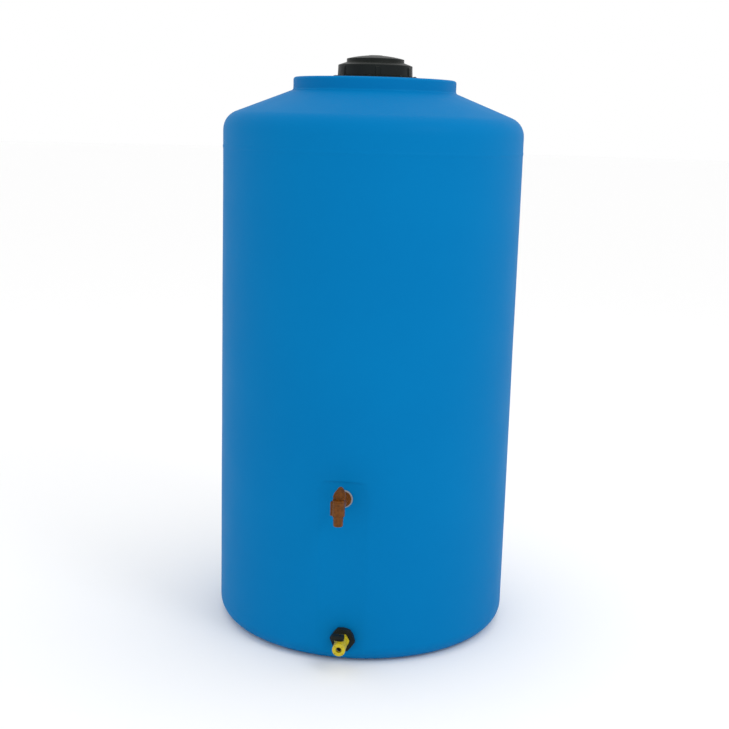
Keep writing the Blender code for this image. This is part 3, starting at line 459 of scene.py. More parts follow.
def plate(name, points, foot, top, edge):
    """A flat outline in X and Z, from y = foot to y = top, with its rims rounded."""
    bm = bmesh.new()
    face = bm.faces.new([bm.verts.new((x, foot, z)) for x, z in points])
    side = bmesh.ops.extrude_face_region(bm, geom=[face])["geom"]
    moved = [v for v in side if isinstance(v, bmesh.types.BMVert)]
    bmesh.ops.translate(bm, verts=moved, vec=(0, top - foot, 0))
    bmesh.ops.recalc_face_normals(bm, faces=bm.faces)
    rims = [e for e in bm.edges if abs(e.verts[0].co.y - e.verts[1].co.y) < CLOSE]
    bmesh.ops.bevel(bm, geom=rims, offset=edge, segments=BEVEL_STEPS, profile=0.5, affect="EDGES")
    return bm_object(name, bm)


def bm_object(name, bm):
    mesh = bpy.data.meshes.new(name)
    bm.to_mesh(mesh)
    bm.free()
    return new_object(name, mesh)


def combine(operation, thing, others):
    """Cuts others away from thing, or joins them on, and deletes them."""
    for other in others:
        step = thing.modifiers.new(operation.lower(), "BOOLEAN")
        step.operation = operation
        step.solver = "EXACT"
        step.object = other
    bpy.context.view_layer.update()
    shape = thing.evaluated_get(bpy.context.evaluated_depsgraph_get())
    mesh = bpy.data.meshes.new_from_object(shape)
    thing.modifiers.clear()
    thing.data = mesh
    for other in others:
        bpy.data.objects.remove(other)
    return thing


def cut(thing, *others):
    return combine("DIFFERENCE", thing, others)


def join(thing, *others):
    return combine("UNION", thing, others)


def placed(thing, matrix):
    """Moves a mesh itself, so that its object stays at the origin of its place."""
    thing.data.transform(matrix)
    return thing


# ---- shapes that change a turned profile ----

def smooth_min(a, b, softness):
    blend = np.maximum(softness - np.abs(a - b), 0) / softness
    return np.minimum(a, b) - blend**2 * softness / 4


def ease(value):
    value = np.clip(value, 0, 1)
    return value * value * (3 - 2 * value)


def within(z, low, high, fade):
    """1 between low and high, falling to 0 over the fade inside each end."""
    return ease((z - low) / fade) * ease((high - z) / fade)


def screw_thread(pitch, depth, low, high, outer_r):
    """Cuts a helical groove into the side with this radius, between two heights."""
    steepness, root_w = 1.7, 0.35

    def shape(theta, r, z):
        from_root = np.abs(2 * ((z / pitch - theta / tau) % 1) - 1)
        groove = 1 - np.clip(from_root * steepness - root_w, 0, 1)
        cut_in = depth * groove * within(z, low, high, pitch / 2)
        return np.where(np.abs(r - outer_r) < CLOSE, r - cut_in, r), z + 0 * theta
    return shape


def thread_ridge(start, theta, z):
    """Height, 0 to 1, of a raised thread of the neck's pitch and turns from a starting height."""
    height = np.zeros(np.broadcast(theta, z).shape)
    for winding in range(ceil(THREAD_TURNS)):
        turned = theta / tau + winding
        off = np.abs(z - start - THREAD_PITCH * turned)
        side = 1 - ease((off - THREAD_CREST) / (THREAD_FLANK - THREAD_CREST))
        ends = ease(turned / THREAD_RUNOUT) * ease((THREAD_TURNS - turned) / THREAD_RUNOUT)
        height = np.maximum(height, side * ends)
    return height


def hex_radius(theta, across_flats):
    """Distance to a hexagon's side, with a rounded corner towards +X."""
    side = across_flats / 2 / np.cos(theta % (pi / 3) - pi / 6)
    corner_r = np.full_like(side, across_flats / sqrt(3) - HEX_CORNER / 2)
    return smooth_min(side, corner_r, HEX_CORNER)


def hex_head(across_flats, foot, top, turn=0.0):
    """Makes the outer side between two heights hexagonal, with chamfered corners at both ends."""
    def shape(theta, r, z):
        wide = np.minimum(r, hex_radius(theta - turn, across_flats) + 0 * r)
        inside = (r > across_flats * HEX_FACE) & (z > foot - CLOSE) & (z < top + CLOSE)
        drop = np.maximum(wide - across_flats * HEX_FACE, 0) * tan(HEX_CHAMFER)
        high = np.clip(z, foot + drop, top - drop)
        return np.where(inside, wide, r), np.where(inside, high, z)
    return shape


def one_after_another(*shapes):
    def shape(theta, r, z):
        for step in shapes:
            r, z = step(theta, r, z)
        return r, z
    return shape


# ---- materials ----

GLOSS_SPREAD = 0.07
PATCH_FROM, PATCH_TO = 0.3, 0.7     # noise values between which one colour turns into the other


def material(slot, colour, other_colour, roughness, grain, grain_depth, cell, **fixed):
    """Two close colours in soft patches of a cell's size, uneven gloss and a fine surface grain."""
    made = bpy.data.materials.new(slot)
    made.use_nodes = True
    nodes, links = made.node_tree.nodes, made.node_tree.links
    shader = nodes["Principled BSDF"]
    for socket, value in fixed.items():
        shader.inputs[socket.replace("_", " ").title().replace("Ior", "IOR")].default_value = value
    where = nodes.new("ShaderNodeTexCoord")

    def noise(scale, detail, roughness_share=0.5):
        texture = nodes.new("ShaderNodeTexNoise")
        texture.inputs["Scale"].default_value = scale
        texture.inputs["Detail"].default_value = detail
        texture.inputs["Roughness"].default_value = roughness_share
        links.new(where.outputs["Object"], texture.inputs["Vector"])
        return texture.outputs["Fac"]

    patches = nodes.new("ShaderNodeMix")
    patches.data_type = "RGBA"
    patches.inputs["A"].default_value = (*colour, 1)
    patches.inputs["B"].default_value = (*other_colour, 1)
    spread = nodes.new("ShaderNodeMapRange")
    spread.inputs["From Min"].default_value = PATCH_FROM
    spread.inputs["From Max"].default_value = PATCH_TO
    links.new(noise(1 / cell, 4, 0.6), spread.inputs["Value"])
    links.new(spread.outputs["Result"], patches.inputs["Factor"])
    links.new(patches.outputs["Result"], shader.inputs["Base Color"])

    gloss = nodes.new("ShaderNodeMapRange")
    gloss.inputs["To Min"].default_value = roughness - GLOSS_SPREAD
    gloss.inputs["To Max"].default_value = roughness + GLOSS_SPREAD
    links.new(noise(3 / cell, 3), gloss.inputs["Value"])
    links.new(gloss.outputs["Result"], shader.inputs["Roughness"])

    bump = nodes.new("ShaderNodeBump")
    bump.inputs["Strength"].default_value = 1.0
    bump.inputs["Distance"].default_value = grain_depth
    links.new(noise(1 / grain, 2), bump.inputs["Height"])
    links.new(bump.outputs["Normal"], shader.inputs["Normal"])
    return made


LOOKS = {
    "blue_polyethylene": dict(
        colour=(0.0, 0.175, 0.440), other_colour=(0.0, 0.166, 0.425), roughness=0.50,
        grain=0.004, grain_depth=0.00012, cell=0.35, specular_ior_level=0.03,
    ),
    "black_polypropylene": dict(
        colour=(0.009, 0.011, 0.010), other_colour=(0.013, 0.016, 0.014), roughness=0.42,
        grain=0.0012, grain_depth=0.00005, cell=0.03, specular_ior_level=0.11,
    ),
    "brown_tap_plastic": dict(
        colour=(0.175, 0.055, 0.006), other_colour=(0.075, 0.026, 0.004), roughness=0.28,
        grain=0.0016, grain_depth=0.00003, cell=0.010, specular_ior_level=0.15,
    ),
    "yellow_valve_plastic": dict(
        colour=(0.57, 0.47, 0.014), other_colour=(0.48, 0.38, 0.010), roughness=0.28,
        grain=0.0014, grain_depth=0.00003, cell=0.02, specular_ior_level=0.3,
    ),
    "black_rubber": dict(
        colour=(0.012, 0.012, 0.012), other_colour=(0.020, 0.020, 0.019), roughness=0.72,
        grain=0.0006, grain_depth=0.00004, cell=0.02, specular_ior_level=0.2,
    ),
    "grey_rubber": dict(
        colour=(0.26, 0.26, 0.27), other_colour=(0.32, 0.32, 0.33), roughness=0.50,
        grain=0.0006, grain_depth=0.00004, cell=0.01, specular_ior_level=0.3,
    ),
    "white_plastic": dict(
        colour=(0.80, 0.80, 0.77), other_colour=(0.74, 0.74, 0.71), roughness=0.25,
        grain=0.0008, grain_depth=0.00001, cell=0.01,
    ),
    "stainless_steel": dict(
        colour=(0.62, 0.62, 0.61), other_colour=(0.54, 0.54, 0.53), roughness=0.26,
        grain=0.0005, grain_depth=0.00001, cell=0.006, metallic=1.0,
    ),
    "blackened_steel": dict(
        colour=(0.030, 0.030, 0.032), other_colour=(0.020, 0.020, 0.021), roughness=0.38,
        grain=0.0005, grain_depth=0.00001, cell=0.006, metallic=1.0,
    ),
}


def dress(thing, node):
    """Gives a finished piece the material of its node's slot and the node's body, and hides the CAD
    node.
    """
    slot = SLOT_OF[node]
    thing.name = node + "_fine"
    mesh = thing.data
    mesh.name = thing.name
    mesh.materials.clear()
    mesh.materials.append(MATERIALS[slot])
    mesh.shade_smooth()
    mesh.set_sharp_from_angle(angle=SMOOTH_BELOW)
    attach(thing, BODY_OF[node])
    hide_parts(node)


def finish(thing, node, matrix):
    thing.matrix_world = matrix
    dress(thing, node)


# ---- tank ----

def tank_sides():
    """The shell's inner and outer profiles, from the inner base's centre to the outer base's."""
    wall = TANK_WALL
    cone_top = COLLAR_TOP - COLLAR_H
    shoulder = cone_top - (TANK_R - COLLAR_R) * tan(SHOULDER_SLOPE)
    bead = shoulder - BEAD_BELOW_SHOULDER
    lean = wall * tan(SHOULDER_SLOPE / 2)
    rim = NECK_BORE_R + GAP
    cone_in = cone_top - wall / cos(SHOULDER_SLOPE) + wall * tan(SHOULDER_SLOPE)
    inner = [
        (0, wall),
        (TANK_R - wall, wall, BASE_CORNER_R - wall),
        *rows(TANK_R - wall, BASE_CORNER_R, LEDGE_LOW, 3 * WAVE_ROW),
        *rows(TANK_R - wall, LEDGE_LOW, LEDGE_HIGH, LEDGE_ROW_INSIDE),
        *rows(TANK_R - wall, LEDGE_HIGH, shoulder - SHOULDER_ROOM, 3 * WAVE_ROW),
        (TANK_R - wall, shoulder - lean, SHOULDER_R - wall),
        (COLLAR_R - wall, cone_in, COLLAR_EDGE_R + wall / 2),
        (COLLAR_R - wall, COLLAR_TOP - wall, COLLAR_EDGE_R - wall / 2),
        (rim, COLLAR_TOP - wall),
    ]
    bead_rows = [
        (TANK_R + BEAD_SHOWN_H * (1 + cos(pi * share)) / 2, bead - BEAD_HALF_W * share)
        for share in (k / BEAD_STEPS for k in range(-BEAD_STEPS, BEAD_STEPS + 1))
    ]
    outer = [
        (rim, COLLAR_TOP),
        (COLLAR_R, COLLAR_TOP, COLLAR_EDGE_R),
        (COLLAR_R, cone_top, COLLAR_EDGE_R),
        (TANK_R, shoulder, SHOULDER_R),
        *rows(TANK_R, shoulder - SHOULDER_ROOM, bead + BEAD_HALF_W, WAVE_ROW),
        *bead_rows,
        *rows(TANK_R, bead - BEAD_HALF_W, LEDGE_HIGH, WAVE_ROW),
        *rows(TANK_R, LEDGE_HIGH, LEDGE_LOW, LEDGE_ROW),
        *rows(TANK_R, LEDGE_LOW, BASE_CORNER_R, WAVE_ROW),
        (TANK_R, 0, BASE_CORNER_R),
        (0, 0),
    ]
    return outline(inner), outline(outer)


def tank_skin(points, theta, depth):
    """Radii of one side of the shell: the flat panel with its ledge, and the wall's unevenness."""
    r = np.array([[p.x] for p in points]) + 0 * theta
    z = np.array([[p.y] for p in points]) + 0 * theta
    facing = -np.sin(theta)
    above = z - PANEL_TOP + depth * tan(pi / 8)
    ledge = (above + np.sqrt(above**2 + LEDGE_SOFTNESS**2)) / 2
    panel = (-PANEL_Y - depth + ledge) / np.maximum(facing, PANEL_SIDE)
    panel = np.where(facing > PANEL_SIDE, panel, 2 * TANK_R)
    wave = sum(share * np.sin(turns * theta + climb * z + start)
               for turns, climb, start, share in WAVES)
    on_wall = within(z, BASE_CORNER_R, WAVE_TOP, WAVE_FADE) * (r > TANK_R - 2 * TANK_WALL)
    off_panel = ease((WAVE_OFF_PANEL - facing) / WAVE_SIDE_FADE)
    r = r + WAVE_H * wave * on_wall * off_panel / 2
    return smooth_min(r, panel, PANEL_SOFTNESS), z


def make_tank():
    half = np.arcsin(PANEL_W / 2 / TANK_R)
    edges = (3 * pi / 2 - half, 3 * pi / 2 + half)
    angles = around(TANK_SIDES, edges, PANEL_EDGE_REACH, PANEL_EDGE_STEP)
    inner, outer = tank_sides()
    inner_r, inner_z = tank_skin(inner, angles[None, :], TANK_WALL)
    outer_r, outer_z = tank_skin(outer, angles[None, :], 0.0)
    radii, heights = np.vstack([inner_r, outer_r]), np.vstack([inner_z, outer_z])
    tank = skin("tank", radii, heights, angles)
    pilots = screw_holes(COLLAR_TOP - TANK_WALL - PAST, COLLAR_TOP + PAST)
    holes = []
    for seat, radius in ((ON_TAP_SEAT, SHANK_R + GAP), (ON_OUTLET, BULK_SHANK_R + GAP)):
        holes.append(placed(rod("hole", radius, -TANK_WALL - PAST, PAST), seat))
    cut(tank, *pilots, *holes)
    finish(tank, "tank_shell", Matrix.Identity(4))


def screw_places():
    circle = (FLANGE_R + LID_R + LID_FLARE) / 2
    for k in range(SCREW_COUNT):
        yield Matrix.Rotation(tau * k / SCREW_COUNT, 4, "Z") @ Matrix.Translation((circle, 0, 0))


def screw_holes(foot, top):
    return [placed(rod("pilot", SCREW_R + GAP, foot, top, SMALL), at) for at in screw_places()]


# ---- neck ----

def make_neck():
    thread_start = (FLANGE_TOP + NECK_H - THREAD_PITCH * THREAD_TURNS) / 2

    def shape(theta, r, z):
        on_neck = (np.abs(r - NECK_R) < CLOSE) & (z > FLANGE_TOP)
        return r + THREAD_H * thread_ridge(thread_start, theta, z) * on_neck, z + 0 * theta

    neck = revolve("neck", [
        (NECK_BORE_R, FLANGE_FOOT, 0.0006),
        (NECK_BORE_R, NECK_H, 0.0012),
        (NECK_R, NECK_H, 0.0012),
        *rows(NECK_R, NECK_H - NECK_RIM_ROOM, FLANGE_TOP + NECK_RIM_ROOM, RIDGE_ROW),
        (NECK_R, FLANGE_TOP, 0.0010),
        (FLANGE_R, FLANGE_TOP, 0.0015),
        (FLANGE_R, FLANGE_FOOT, 0.0008),
    ], around(NECK_SIDES), shape, closed=True)
    cut(neck, *screw_holes(0, FLANGE_TOP + PAST))
    finish(neck, "neck_ring", ON_COLLAR)

    gasket_r = FLANGE_R - NECK_GASKET_INSET
    gasket = ring("gasket", NECK_BORE_R + GAP, gasket_r, GAP, GAP + NECK_GASKET_T)
    cut(gasket, *screw_holes(-PAST, NECK_GASKET_T + PAST))
    finish(gasket, "neck_gasket", ON_COLLAR)


def pan_screw(name, shank_r, length, head_r, head_h, pitch):
    """A pan-head screw with a cross recess. Its head's seat is at z = 0."""
    tip = head_h - length
    tip_r, thread_depth = shank_r * 0.25, shank_r * 0.28
    thread_foot, thread_top = tip + shank_r, -pitch
    crown_r, crown_h, rim_h = head_r * 0.55, head_h * 0.97, head_h * 0.62
    screw = revolve(name, [
        (0, head_h),
        (crown_r, crown_h),
        (head_r, rim_h, head_h * 0.4),
        (head_r, 0, head_h * 0.12),
        (shank_r, 0),
        *rows(shank_r, 0, thread_foot, pitch / THREAD_ROWS),
        (shank_r, thread_foot),
        (tip_r, tip),
        (0, tip),
    ], around(SMALL), screw_thread(pitch, thread_depth, thread_foot, thread_top, shank_r))
    arm, thick = head_r * 0.55, head_r * 0.11
    floor, above = head_h * 0.35, head_h * 2
    cross = block("cross", (-arm, -thick, floor), (arm, thick, above))
    other = block("cross", (-thick, -arm, floor), (thick, arm, above))
    return cut(screw, join(cross, other))


def make_neck_screws():
    first = pan_screw("neck_screw", SCREW_R, SCREW_L, SCREW_HEAD_R, SCREW_HEAD_H, SCREW_PITCH)
    seat = Matrix.Translation((0, 0, FLANGE_TOP + GAP))
    for k, at in enumerate(screw_places()):
        screw = first if k == 0 else new_object("neck_screw", first.data.copy())
        spin = Matrix.Rotation(SCREW_SPIN * k, 4, "Z")
        finish(screw, f"neck_screw_{k + 1}", ON_COLLAR @ at @ seat @ spin)


# ---- lid and vent ----

def crown_points(rise, drop, inner_r, outer_r):
    """Points of a round dome on the crown's edge, or that far under it, between two radii."""
    ball = (CROWN_R**2 + rise**2) / (2 * rise)
    for k in range(DOME_STEPS + 1):
        r = inner_r + (outer_r - inner_r) * k / DOME_STEPS
        yield r, CROWN_EDGE_H + rise - ball + sqrt((ball - drop) ** 2 - r * r)


def make_lid():
    thread_start = (LID_FOOT + LID_CEILING - THREAD_PITCH * THREAD_TURNS) / 2
    lug_top = LID_SHOULDER_H - LID_WALL
    lug_half = LUG_W / 2 / LID_R
    lug_edge = LUG_EDGE / LID_R

    def shape(theta, r, z):
        in_bore = np.abs(r - LID_BORE_R) < CLOSE
        ridge = THREAD_H * thread_ridge(thread_start, theta, z) * in_bore
        turn = np.abs((theta - LUG_TURN + pi / LUG_COUNT) % (tau / LUG_COUNT) - pi / LUG_COUNT)
        lug = ease((lug_half - turn) / lug_edge) * ease((lug_top - z) / LUG_FADE)
        on_skirt = (r > LID_R - CLOSE) & (z < LID_SHOULDER_H)
        return r - ridge + LUG_H * lug * on_skirt, z + 0 * theta

    lug_sides = [
        LUG_TURN + tau * k / LUG_COUNT + side * (lug_half - lug_edge / 2)
        for k in range(LUG_COUNT) for side in (-1, 1)
    ]
    inner_r = CROWN_R - LID_WALL
    hole_r = VENT_R + GAP
    lid = revolve("lid", [
        (LID_BORE_R, LID_FOOT),
        *rows(LID_BORE_R, LID_FOOT, LID_CEILING - LID_CEILING_ROOM, RIDGE_ROW),
        (LID_BORE_R, LID_CEILING, 0.0008),
        (inner_r, LID_CEILING, 0.0015),
        *crown_points(VENT_SEAT_RISE, LID_WALL, inner_r, hole_r),
        (hole_r, VENT_SEAT),
        (VENT_RECESS_R, VENT_SEAT, 0.0006),
        *crown_points(CROWN_RISE, 0, VENT_RECESS_R, CROWN_R - CROWN_RIM_W),
        (CROWN_R, CROWN_EDGE_H, LID_EDGE_R),
        (CROWN_R, CROWN_FOOT_H, LID_EDGE_R),
        (LID_R, LID_SHOULDER_H, LID_EDGE_R),
        *rows(LID_R, lug_top + LUG_FINE_ABOVE, lug_top - LUG_FINE_BELOW, LUG_ROW),
        (LID_R + LID_FLARE, LID_FOOT + LID_CHAMFER),
        (LID_R + LID_FLARE - LID_CHAMFER, LID_FOOT),
    ], around(NECK_SIDES, lug_sides, 0.75 * lug_edge, lug_edge / 8), shape, closed=True)
    finish(lid, "lid", ON_COLLAR)

    rim_out = LID_BORE_R - THREAD_H - LID_GASKET_CLEAR
    gasket = ring("gasket", NECK_BORE_R + GAP, rim_out, NECK_H + GAP, NECK_H + GAP + LID_GASKET_T)
    finish(gasket, "lid_gasket", ON_COLLAR)


def around_vent(radius, foot, top):
    circle = (VENT_R + VENT_FLANGE_R) / 2
    return [
        placed(rod("peg", radius, foot, top, SMALL),
               Matrix.Rotation(tau * k / VENT_PEG_COUNT, 4, "Z")
               @ Matrix.Translation((circle, 0, 0)))
        for k in range(VENT_PEG_COUNT)
    ]


def make_vent():
    tube_foot = VENT_SEAT - VENT_TUBE_L
    under_crown = VENT_SEAT - LID_WALL - 2 * GAP
    flange_top = VENT_SEAT + GAP + VENT_FLANGE_T
    body = revolve("vent", [
        (VENT_INLET_R, tube_foot, 0.0003),
        (VENT_INLET_R, tube_foot + VENT_FLANGE_T, 0.0003),
        (VENT_BORE_R, tube_foot + VENT_FLANGE_T),
        (VENT_BORE_R, flange_top, 0.0003),
        (VENT_FLANGE_R, flange_top, 0.0003),
        (VENT_FLANGE_R, VENT_SEAT + GAP, 0.0003),
        (VENT_R, VENT_SEAT + GAP),
        (VENT_R, under_crown),
        (VENT_R + VENT_CATCH_W, under_crown - VENT_CATCH_ROOF, 0.0004),
        (VENT_R, under_crown - VENT_CATCH_L),
        (VENT_R, tube_foot, 0.0003),
    ], closed=True)
    cut(body, *around_vent(VENT_PEG_HOLE_R, VENT_SEAT - PAST, flange_top + PAST))
    finish(body, "vent_body", ON_COLLAR)

    cap_top = VENT_CAP_FOOT + VENT_CAP_T
    skirt_foot = VENT_SEAT + VENT_FLANGE_T
    cap = revolve("cap", [
        (0, cap_top),
        (VENT_CAP_R, cap_top, VENT_CAP_T * 0.8),
        (VENT_CAP_R, skirt_foot, 0.0004),
        (VENT_FLANGE_R + 2 * GAP, skirt_foot),
        (VENT_FLANGE_R + 2 * GAP, VENT_CAP_FOOT),
        (0, VENT_CAP_FOOT),
    ])
    join(cap, *around_vent(VENT_PEG_R, VENT_SEAT + 2 * GAP, VENT_CAP_FOOT + VENT_CAP_T / 2))
    finish(cap, "vent_cap", ON_COLLAR)

    foot = tube_foot + VENT_FLANGE_T + GAP
    top = foot + SCREEN_T
    screen = rod("screen", VENT_BORE_R - GAP, foot, top)
    holes = []
    for row in range(-SCREEN_REACH, SCREEN_REACH + 1):
        for column in range(-SCREEN_REACH, SCREEN_REACH + 1):
            at = Vector((column + row % 2 / 2, row * sqrt(3) / 2, 0)) * SCREEN_PITCH
            if at.length < VENT_BORE_R - SCREEN_RIM_W:
                hole = rod("mesh", SCREEN_HOLE_R, foot - PAST, top + PAST, SCREEN_HOLE_SIDES)
                holes.append(placed(hole, Matrix.Translation(at)))
    cut(screen, *holes)
    finish(screen, "vent_screen", ON_COLLAR)


# ---- tap ----

def make_tap_body():
    tail = -TANK_WALL - SHANK_PAST_WALL
    barrel_end = TAP_REACH - BARREL_R
    thread_top = -TANK_WALL - PLAIN_END
    thread = screw_thread(SHANK_PITCH, SHANK_THREAD_D, tail, thread_top, SHANK_R)
    body = revolve("tap_body", [
        (TAP_WATERWAY_R, tail, 0.0005),
        (TAP_WATERWAY_R, barrel_end),
        (BARREL_R + BARREL_FLARE, barrel_end),
        (BARREL_R + BARREL_FLARE, TAP_REACH - SLEEVE_R - BARREL_FLARE_TO, 0.001),
        (BARREL_R, TAP_REACH - SLEEVE_R - BARREL_FLARE_FROM, 0.002),
        (BARREL_R, TAP_FLANGE_FACE, 0.0015),
        (TAP_FLANGE_R, TAP_FLANGE_FACE, 0.0012),
        (TAP_FLANGE_R, TAP_FLANGE_FOOT, 0.0005),
        (SHANK_R, TAP_FLANGE_FOOT),
        *rows(SHANK_R, TAP_FLANGE_FOOT, tail, SHANK_PITCH / THREAD_ROWS),
        (SHANK_R, tail, 0.0006),
    ], shape=thread, closed=True)
    placed(body, Matrix.Translation((0, TAP_REACH, 0)) @ OUTWARD)
    sleeve = revolve("sleeve", [
        (0, SLEEVE_UP),
        (SLEEVE_R, SLEEVE_UP, 0.0015),
        (SLEEVE_R, -SLEEVE_DOWN, 0.0015),
        (0, -SLEEVE_DOWN),
    ])
    stop_rib = block(
        "stop_rib", (-STOP_OUT, -STOP_W / 2, STOP_STEP - SLEEVE_DOWN),
        (0, STOP_W / 2, SLEEVE_UP - STOP_STEP), 0.0016,
    )
    bore = rod("bore", PLUG_R + 2 * GAP, -SLEEVE_DOWN - PAST, SLEEVE_UP + PAST)
    way_in = placed(
        rod("way_in", TAP_WATERWAY_R, tail - PAST, TAP_REACH - WAY_IN_SHORT),
        Matrix.Translation((0, TAP_REACH, 0)) @ OUTWARD,
    )
    join(body, sleeve, stop_rib)
    cut(body, bore, way_in)
    finish(body, "tap_body", ON_TAP_AXIS)


def make_tap_seals():
    bore_r = SHANK_R + GAP
    washer = ring("washer", bore_r, TAP_WASHER_R, GAP, GAP + TAP_WASHER_T, edge=0.0008)
    finish(washer, "tap_outer_washer", ON_TAP_SEAT)
    inner_top = -TANK_WALL - GAP
    inner_foot = inner_top - TAP_INNER_WASHER_T
    inner = ring("washer", bore_r, TAP_INNER_WASHER_R, inner_foot, inner_top, edge=0.0006)
    finish(inner, "tap_inner_washer", ON_TAP_SEAT)
    nut_top = inner_foot - GAP
    nut = hex_nut("nut", TAP_NUT_AF, bore_r, nut_top - TAP_NUT_T, nut_top)
    finish(nut, "tap_lock_nut", ON_TAP_SEAT)


def hex_nut(name, across_flats, bore_r, foot, top):
    corner_r = across_flats / sqrt(3)
    return revolve(name, [
        (bore_r, foot, 0.0005),
        (bore_r, top, 0.0005),
        (across_flats * HEX_FACE, top),
        (corner_r, top),
        (corner_r, (foot + top) / 2),
        (corner_r, foot),
        (across_flats * HEX_FACE, foot),
    ], around(HEX_SIDES), hex_head(across_flats, foot, top), closed=True)


def fin_outline(inset):
    """The fin handle's face, narrow at its round top. Moved in by inset, it has a pointed foot."""
    top_r = FIN_TOP_W / 2 - inset
    centre = FIN_FOOT + FIN_H - FIN_TOP_W / 2
    waist = FIN_FOOT + FIN_WAIST_H
    half = FIN_W / 2 - inset
    arc = []
    for k in range(FIN_ARC_STEPS + 1):
        turn = FIN_ARC_FROM + (pi - 2 * FIN_ARC_FROM) * k / FIN_ARC_STEPS
        arc.append((FIN_X + FIN_LEAN + top_r * cos(turn), centre + top_r * sin(turn)))
    swell = (half + top_r) / 2 + FIN_BULGE
    middle_x, middle_z = FIN_X + FIN_LEAN / 2, (waist + centre) / 2
    right = [(FIN_X + half, waist), (middle_x + swell, middle_z)]
    left = [(middle_x - swell, middle_z), (FIN_X - half, waist)]
    sides = [*right, *arc, *left]
    if inset:
        return [*sides, (FIN_X, FIN_FOOT + inset)]
    foot = FIN_FOOT - PLUG_HEAD_T / 2
    root = FIN_ROOT_W / 2
    return [(root, foot), *sides, (-root, foot)]


def make_tap_plug():
    groove = PLUG_R - 2 * TAP_RING_R
    half = TAP_RING_R + GROOVE_SLACK

    def groove_at(z):
        return [(PLUG_R, z + half), (groove, z + half), (groove, z - half), (PLUG_R, z - half)]

    foot = -SLEEVE_DOWN - GAP
    plug = revolve("plug", [
        (0, FIN_FOOT),
        (PLUG_HEAD_R, FIN_FOOT, 0.0009),
        (PLUG_HEAD_R, SLEEVE_UP + GAP, 0.0004),
        (PLUG_R, SLEEVE_UP + GAP),
        *groove_at(TAP_RING_PLACES["tap_o_ring_upper"]),
        *groove_at(TAP_RING_PLACES["tap_o_ring_lower"]),
        (PLUG_R, foot),
        (PLUG_R + SPOUT_LIP_W, foot, 0.0005),
        (SPOUT_R, foot - SPOUT_LIP_T, 0.001),
        (SPOUT_TIP_R, -SPOUT_DOWN, 0.0015),
        (SPOUT_BORE_R, -SPOUT_DOWN, 0.0012),
        (SPOUT_BORE_R, TAP_WATERWAY_R),
        (0, TAP_WATERWAY_R),
    ])
    fin = plate("fin", fin_outline(0), -FIN_T / 2, FIN_T / 2, 0.0018)
    join(plug, fin)
    deep = FIN_T / 2 - FIN_RECESS
    front = plate("recess", fin_outline(FIN_RIM), -FIN_T, -deep, 0.0008)
    back = plate("recess", fin_outline(FIN_RIM), deep, FIN_T, 0.0008)
    port = placed(rod("port", TAP_WATERWAY_R - GAP, 0, SLEEVE_R), Matrix.Rotation(pi / 2, 4, "Y"))
    cut(plug, front, back, port)
    finish(plug, "tap_plug", ON_TAP_AXIS)
    for node, z in TAP_RING_PLACES.items():
        finish(o_ring(node, TAP_RING_R, PLUG_R, z), node, ON_TAP_AXIS)


def o_ring(name, section_r, seat_r, z):
    """A ring in a groove of a shaft with this radius."""
    middle = seat_r - section_r + RING_STRETCH
    turns = [-tau * k / RING_SIDES for k in range(RING_SIDES)]
    section = [(middle + section_r * cos(turn), z + section_r * sin(turn)) for turn in turns]
    return revolve(name, section, closed=True)


# ---- bulkhead ----

def make_bulkhead():
    washer_top = -TANK_WALL - GAP
    washer_foot = washer_top - BULK_WASHER_T
    nut_top = washer_foot - GAP
    nut_foot = nut_top - BULK_NUT_T
    tail = nut_foot - BULK_TAIL
    corner_r = BULK_AF / sqrt(3)
    groove_foot = BULK_HEAD_FACE - BULK_GROOVE_D
    groove_in, floor_in, floor_out, groove_out = (BULK_AF * share for share in BULK_GROOVE)
    socket_foot = BODY_REAR - INLET_L - GAP
    head = hex_head(BULK_AF, BULK_HEAD_FOOT, BULK_HEAD_FACE, BULK_HEAD_TURN)
    thread = screw_thread(BULK_PITCH, BULK_THREAD_D, tail, -PLAIN_END, BULK_SHANK_R)
    body = revolve("bulkhead", [
        (BULK_BORE_R, tail, 0.0006),
        (BULK_BORE_R, socket_foot),
        (INLET_R + GAP, socket_foot),
        (INLET_R + GAP, BULK_HEAD_FACE, 0.0004),
        (groove_in, BULK_HEAD_FACE, 0.0010),
        (floor_in, groove_foot, 0.0010),
        (floor_out, groove_foot, 0.0008),
        (groove_out, BULK_HEAD_FACE),
        (BULK_AF * HEX_FACE, BULK_HEAD_FACE),
        (corner_r, BULK_HEAD_FACE),
        *rows(corner_r, BULK_HEAD_FACE, BULK_HEAD_FOOT, BULK_HEAD_ROW),
        (corner_r, BULK_HEAD_FOOT),
        (BULK_AF * HEX_FACE, BULK_HEAD_FOOT),
        (BULK_SHANK_R, BULK_HEAD_FOOT),
        *rows(BULK_SHANK_R, BULK_HEAD_FOOT, tail, BULK_PITCH / THREAD_ROWS),
        (BULK_SHANK_R, tail, 0.0008),
    ], around(HEX_SIDES), one_after_another(head, thread), closed=True)
    finish(body, "bulkhead_body", ON_OUTLET)

    bore_r = BULK_SHANK_R + GAP
    gasket = ring("gasket", bore_r, BULK_GASKET_R, GAP, GAP + BULK_GASKET_T, edge=0.0008)
    finish(gasket, "bulkhead_gasket", ON_OUTLET)
    washer = ring("washer", bore_r, BULK_WASHER_R, washer_foot, washer_top, edge=0.0005)
    finish(washer, "bulkhead_slip_washer", ON_OUTLET)
    nut = hex_nut("nut", BULK_AF, bore_r, nut_foot, nut_top)
    finish(nut, "bulkhead_nut", ON_OUTLET)


# ---- drain valve ----

def seat_sizes():
    """Distances from the ball's centre to where a seat's bore meets it and the seat's two sides."""
    meets = sqrt((BALL_R + GAP) ** 2 - SEAT_BORE_R**2)
    near = meets - SEAT_LAP
    return meets, near, near + SEAT_T


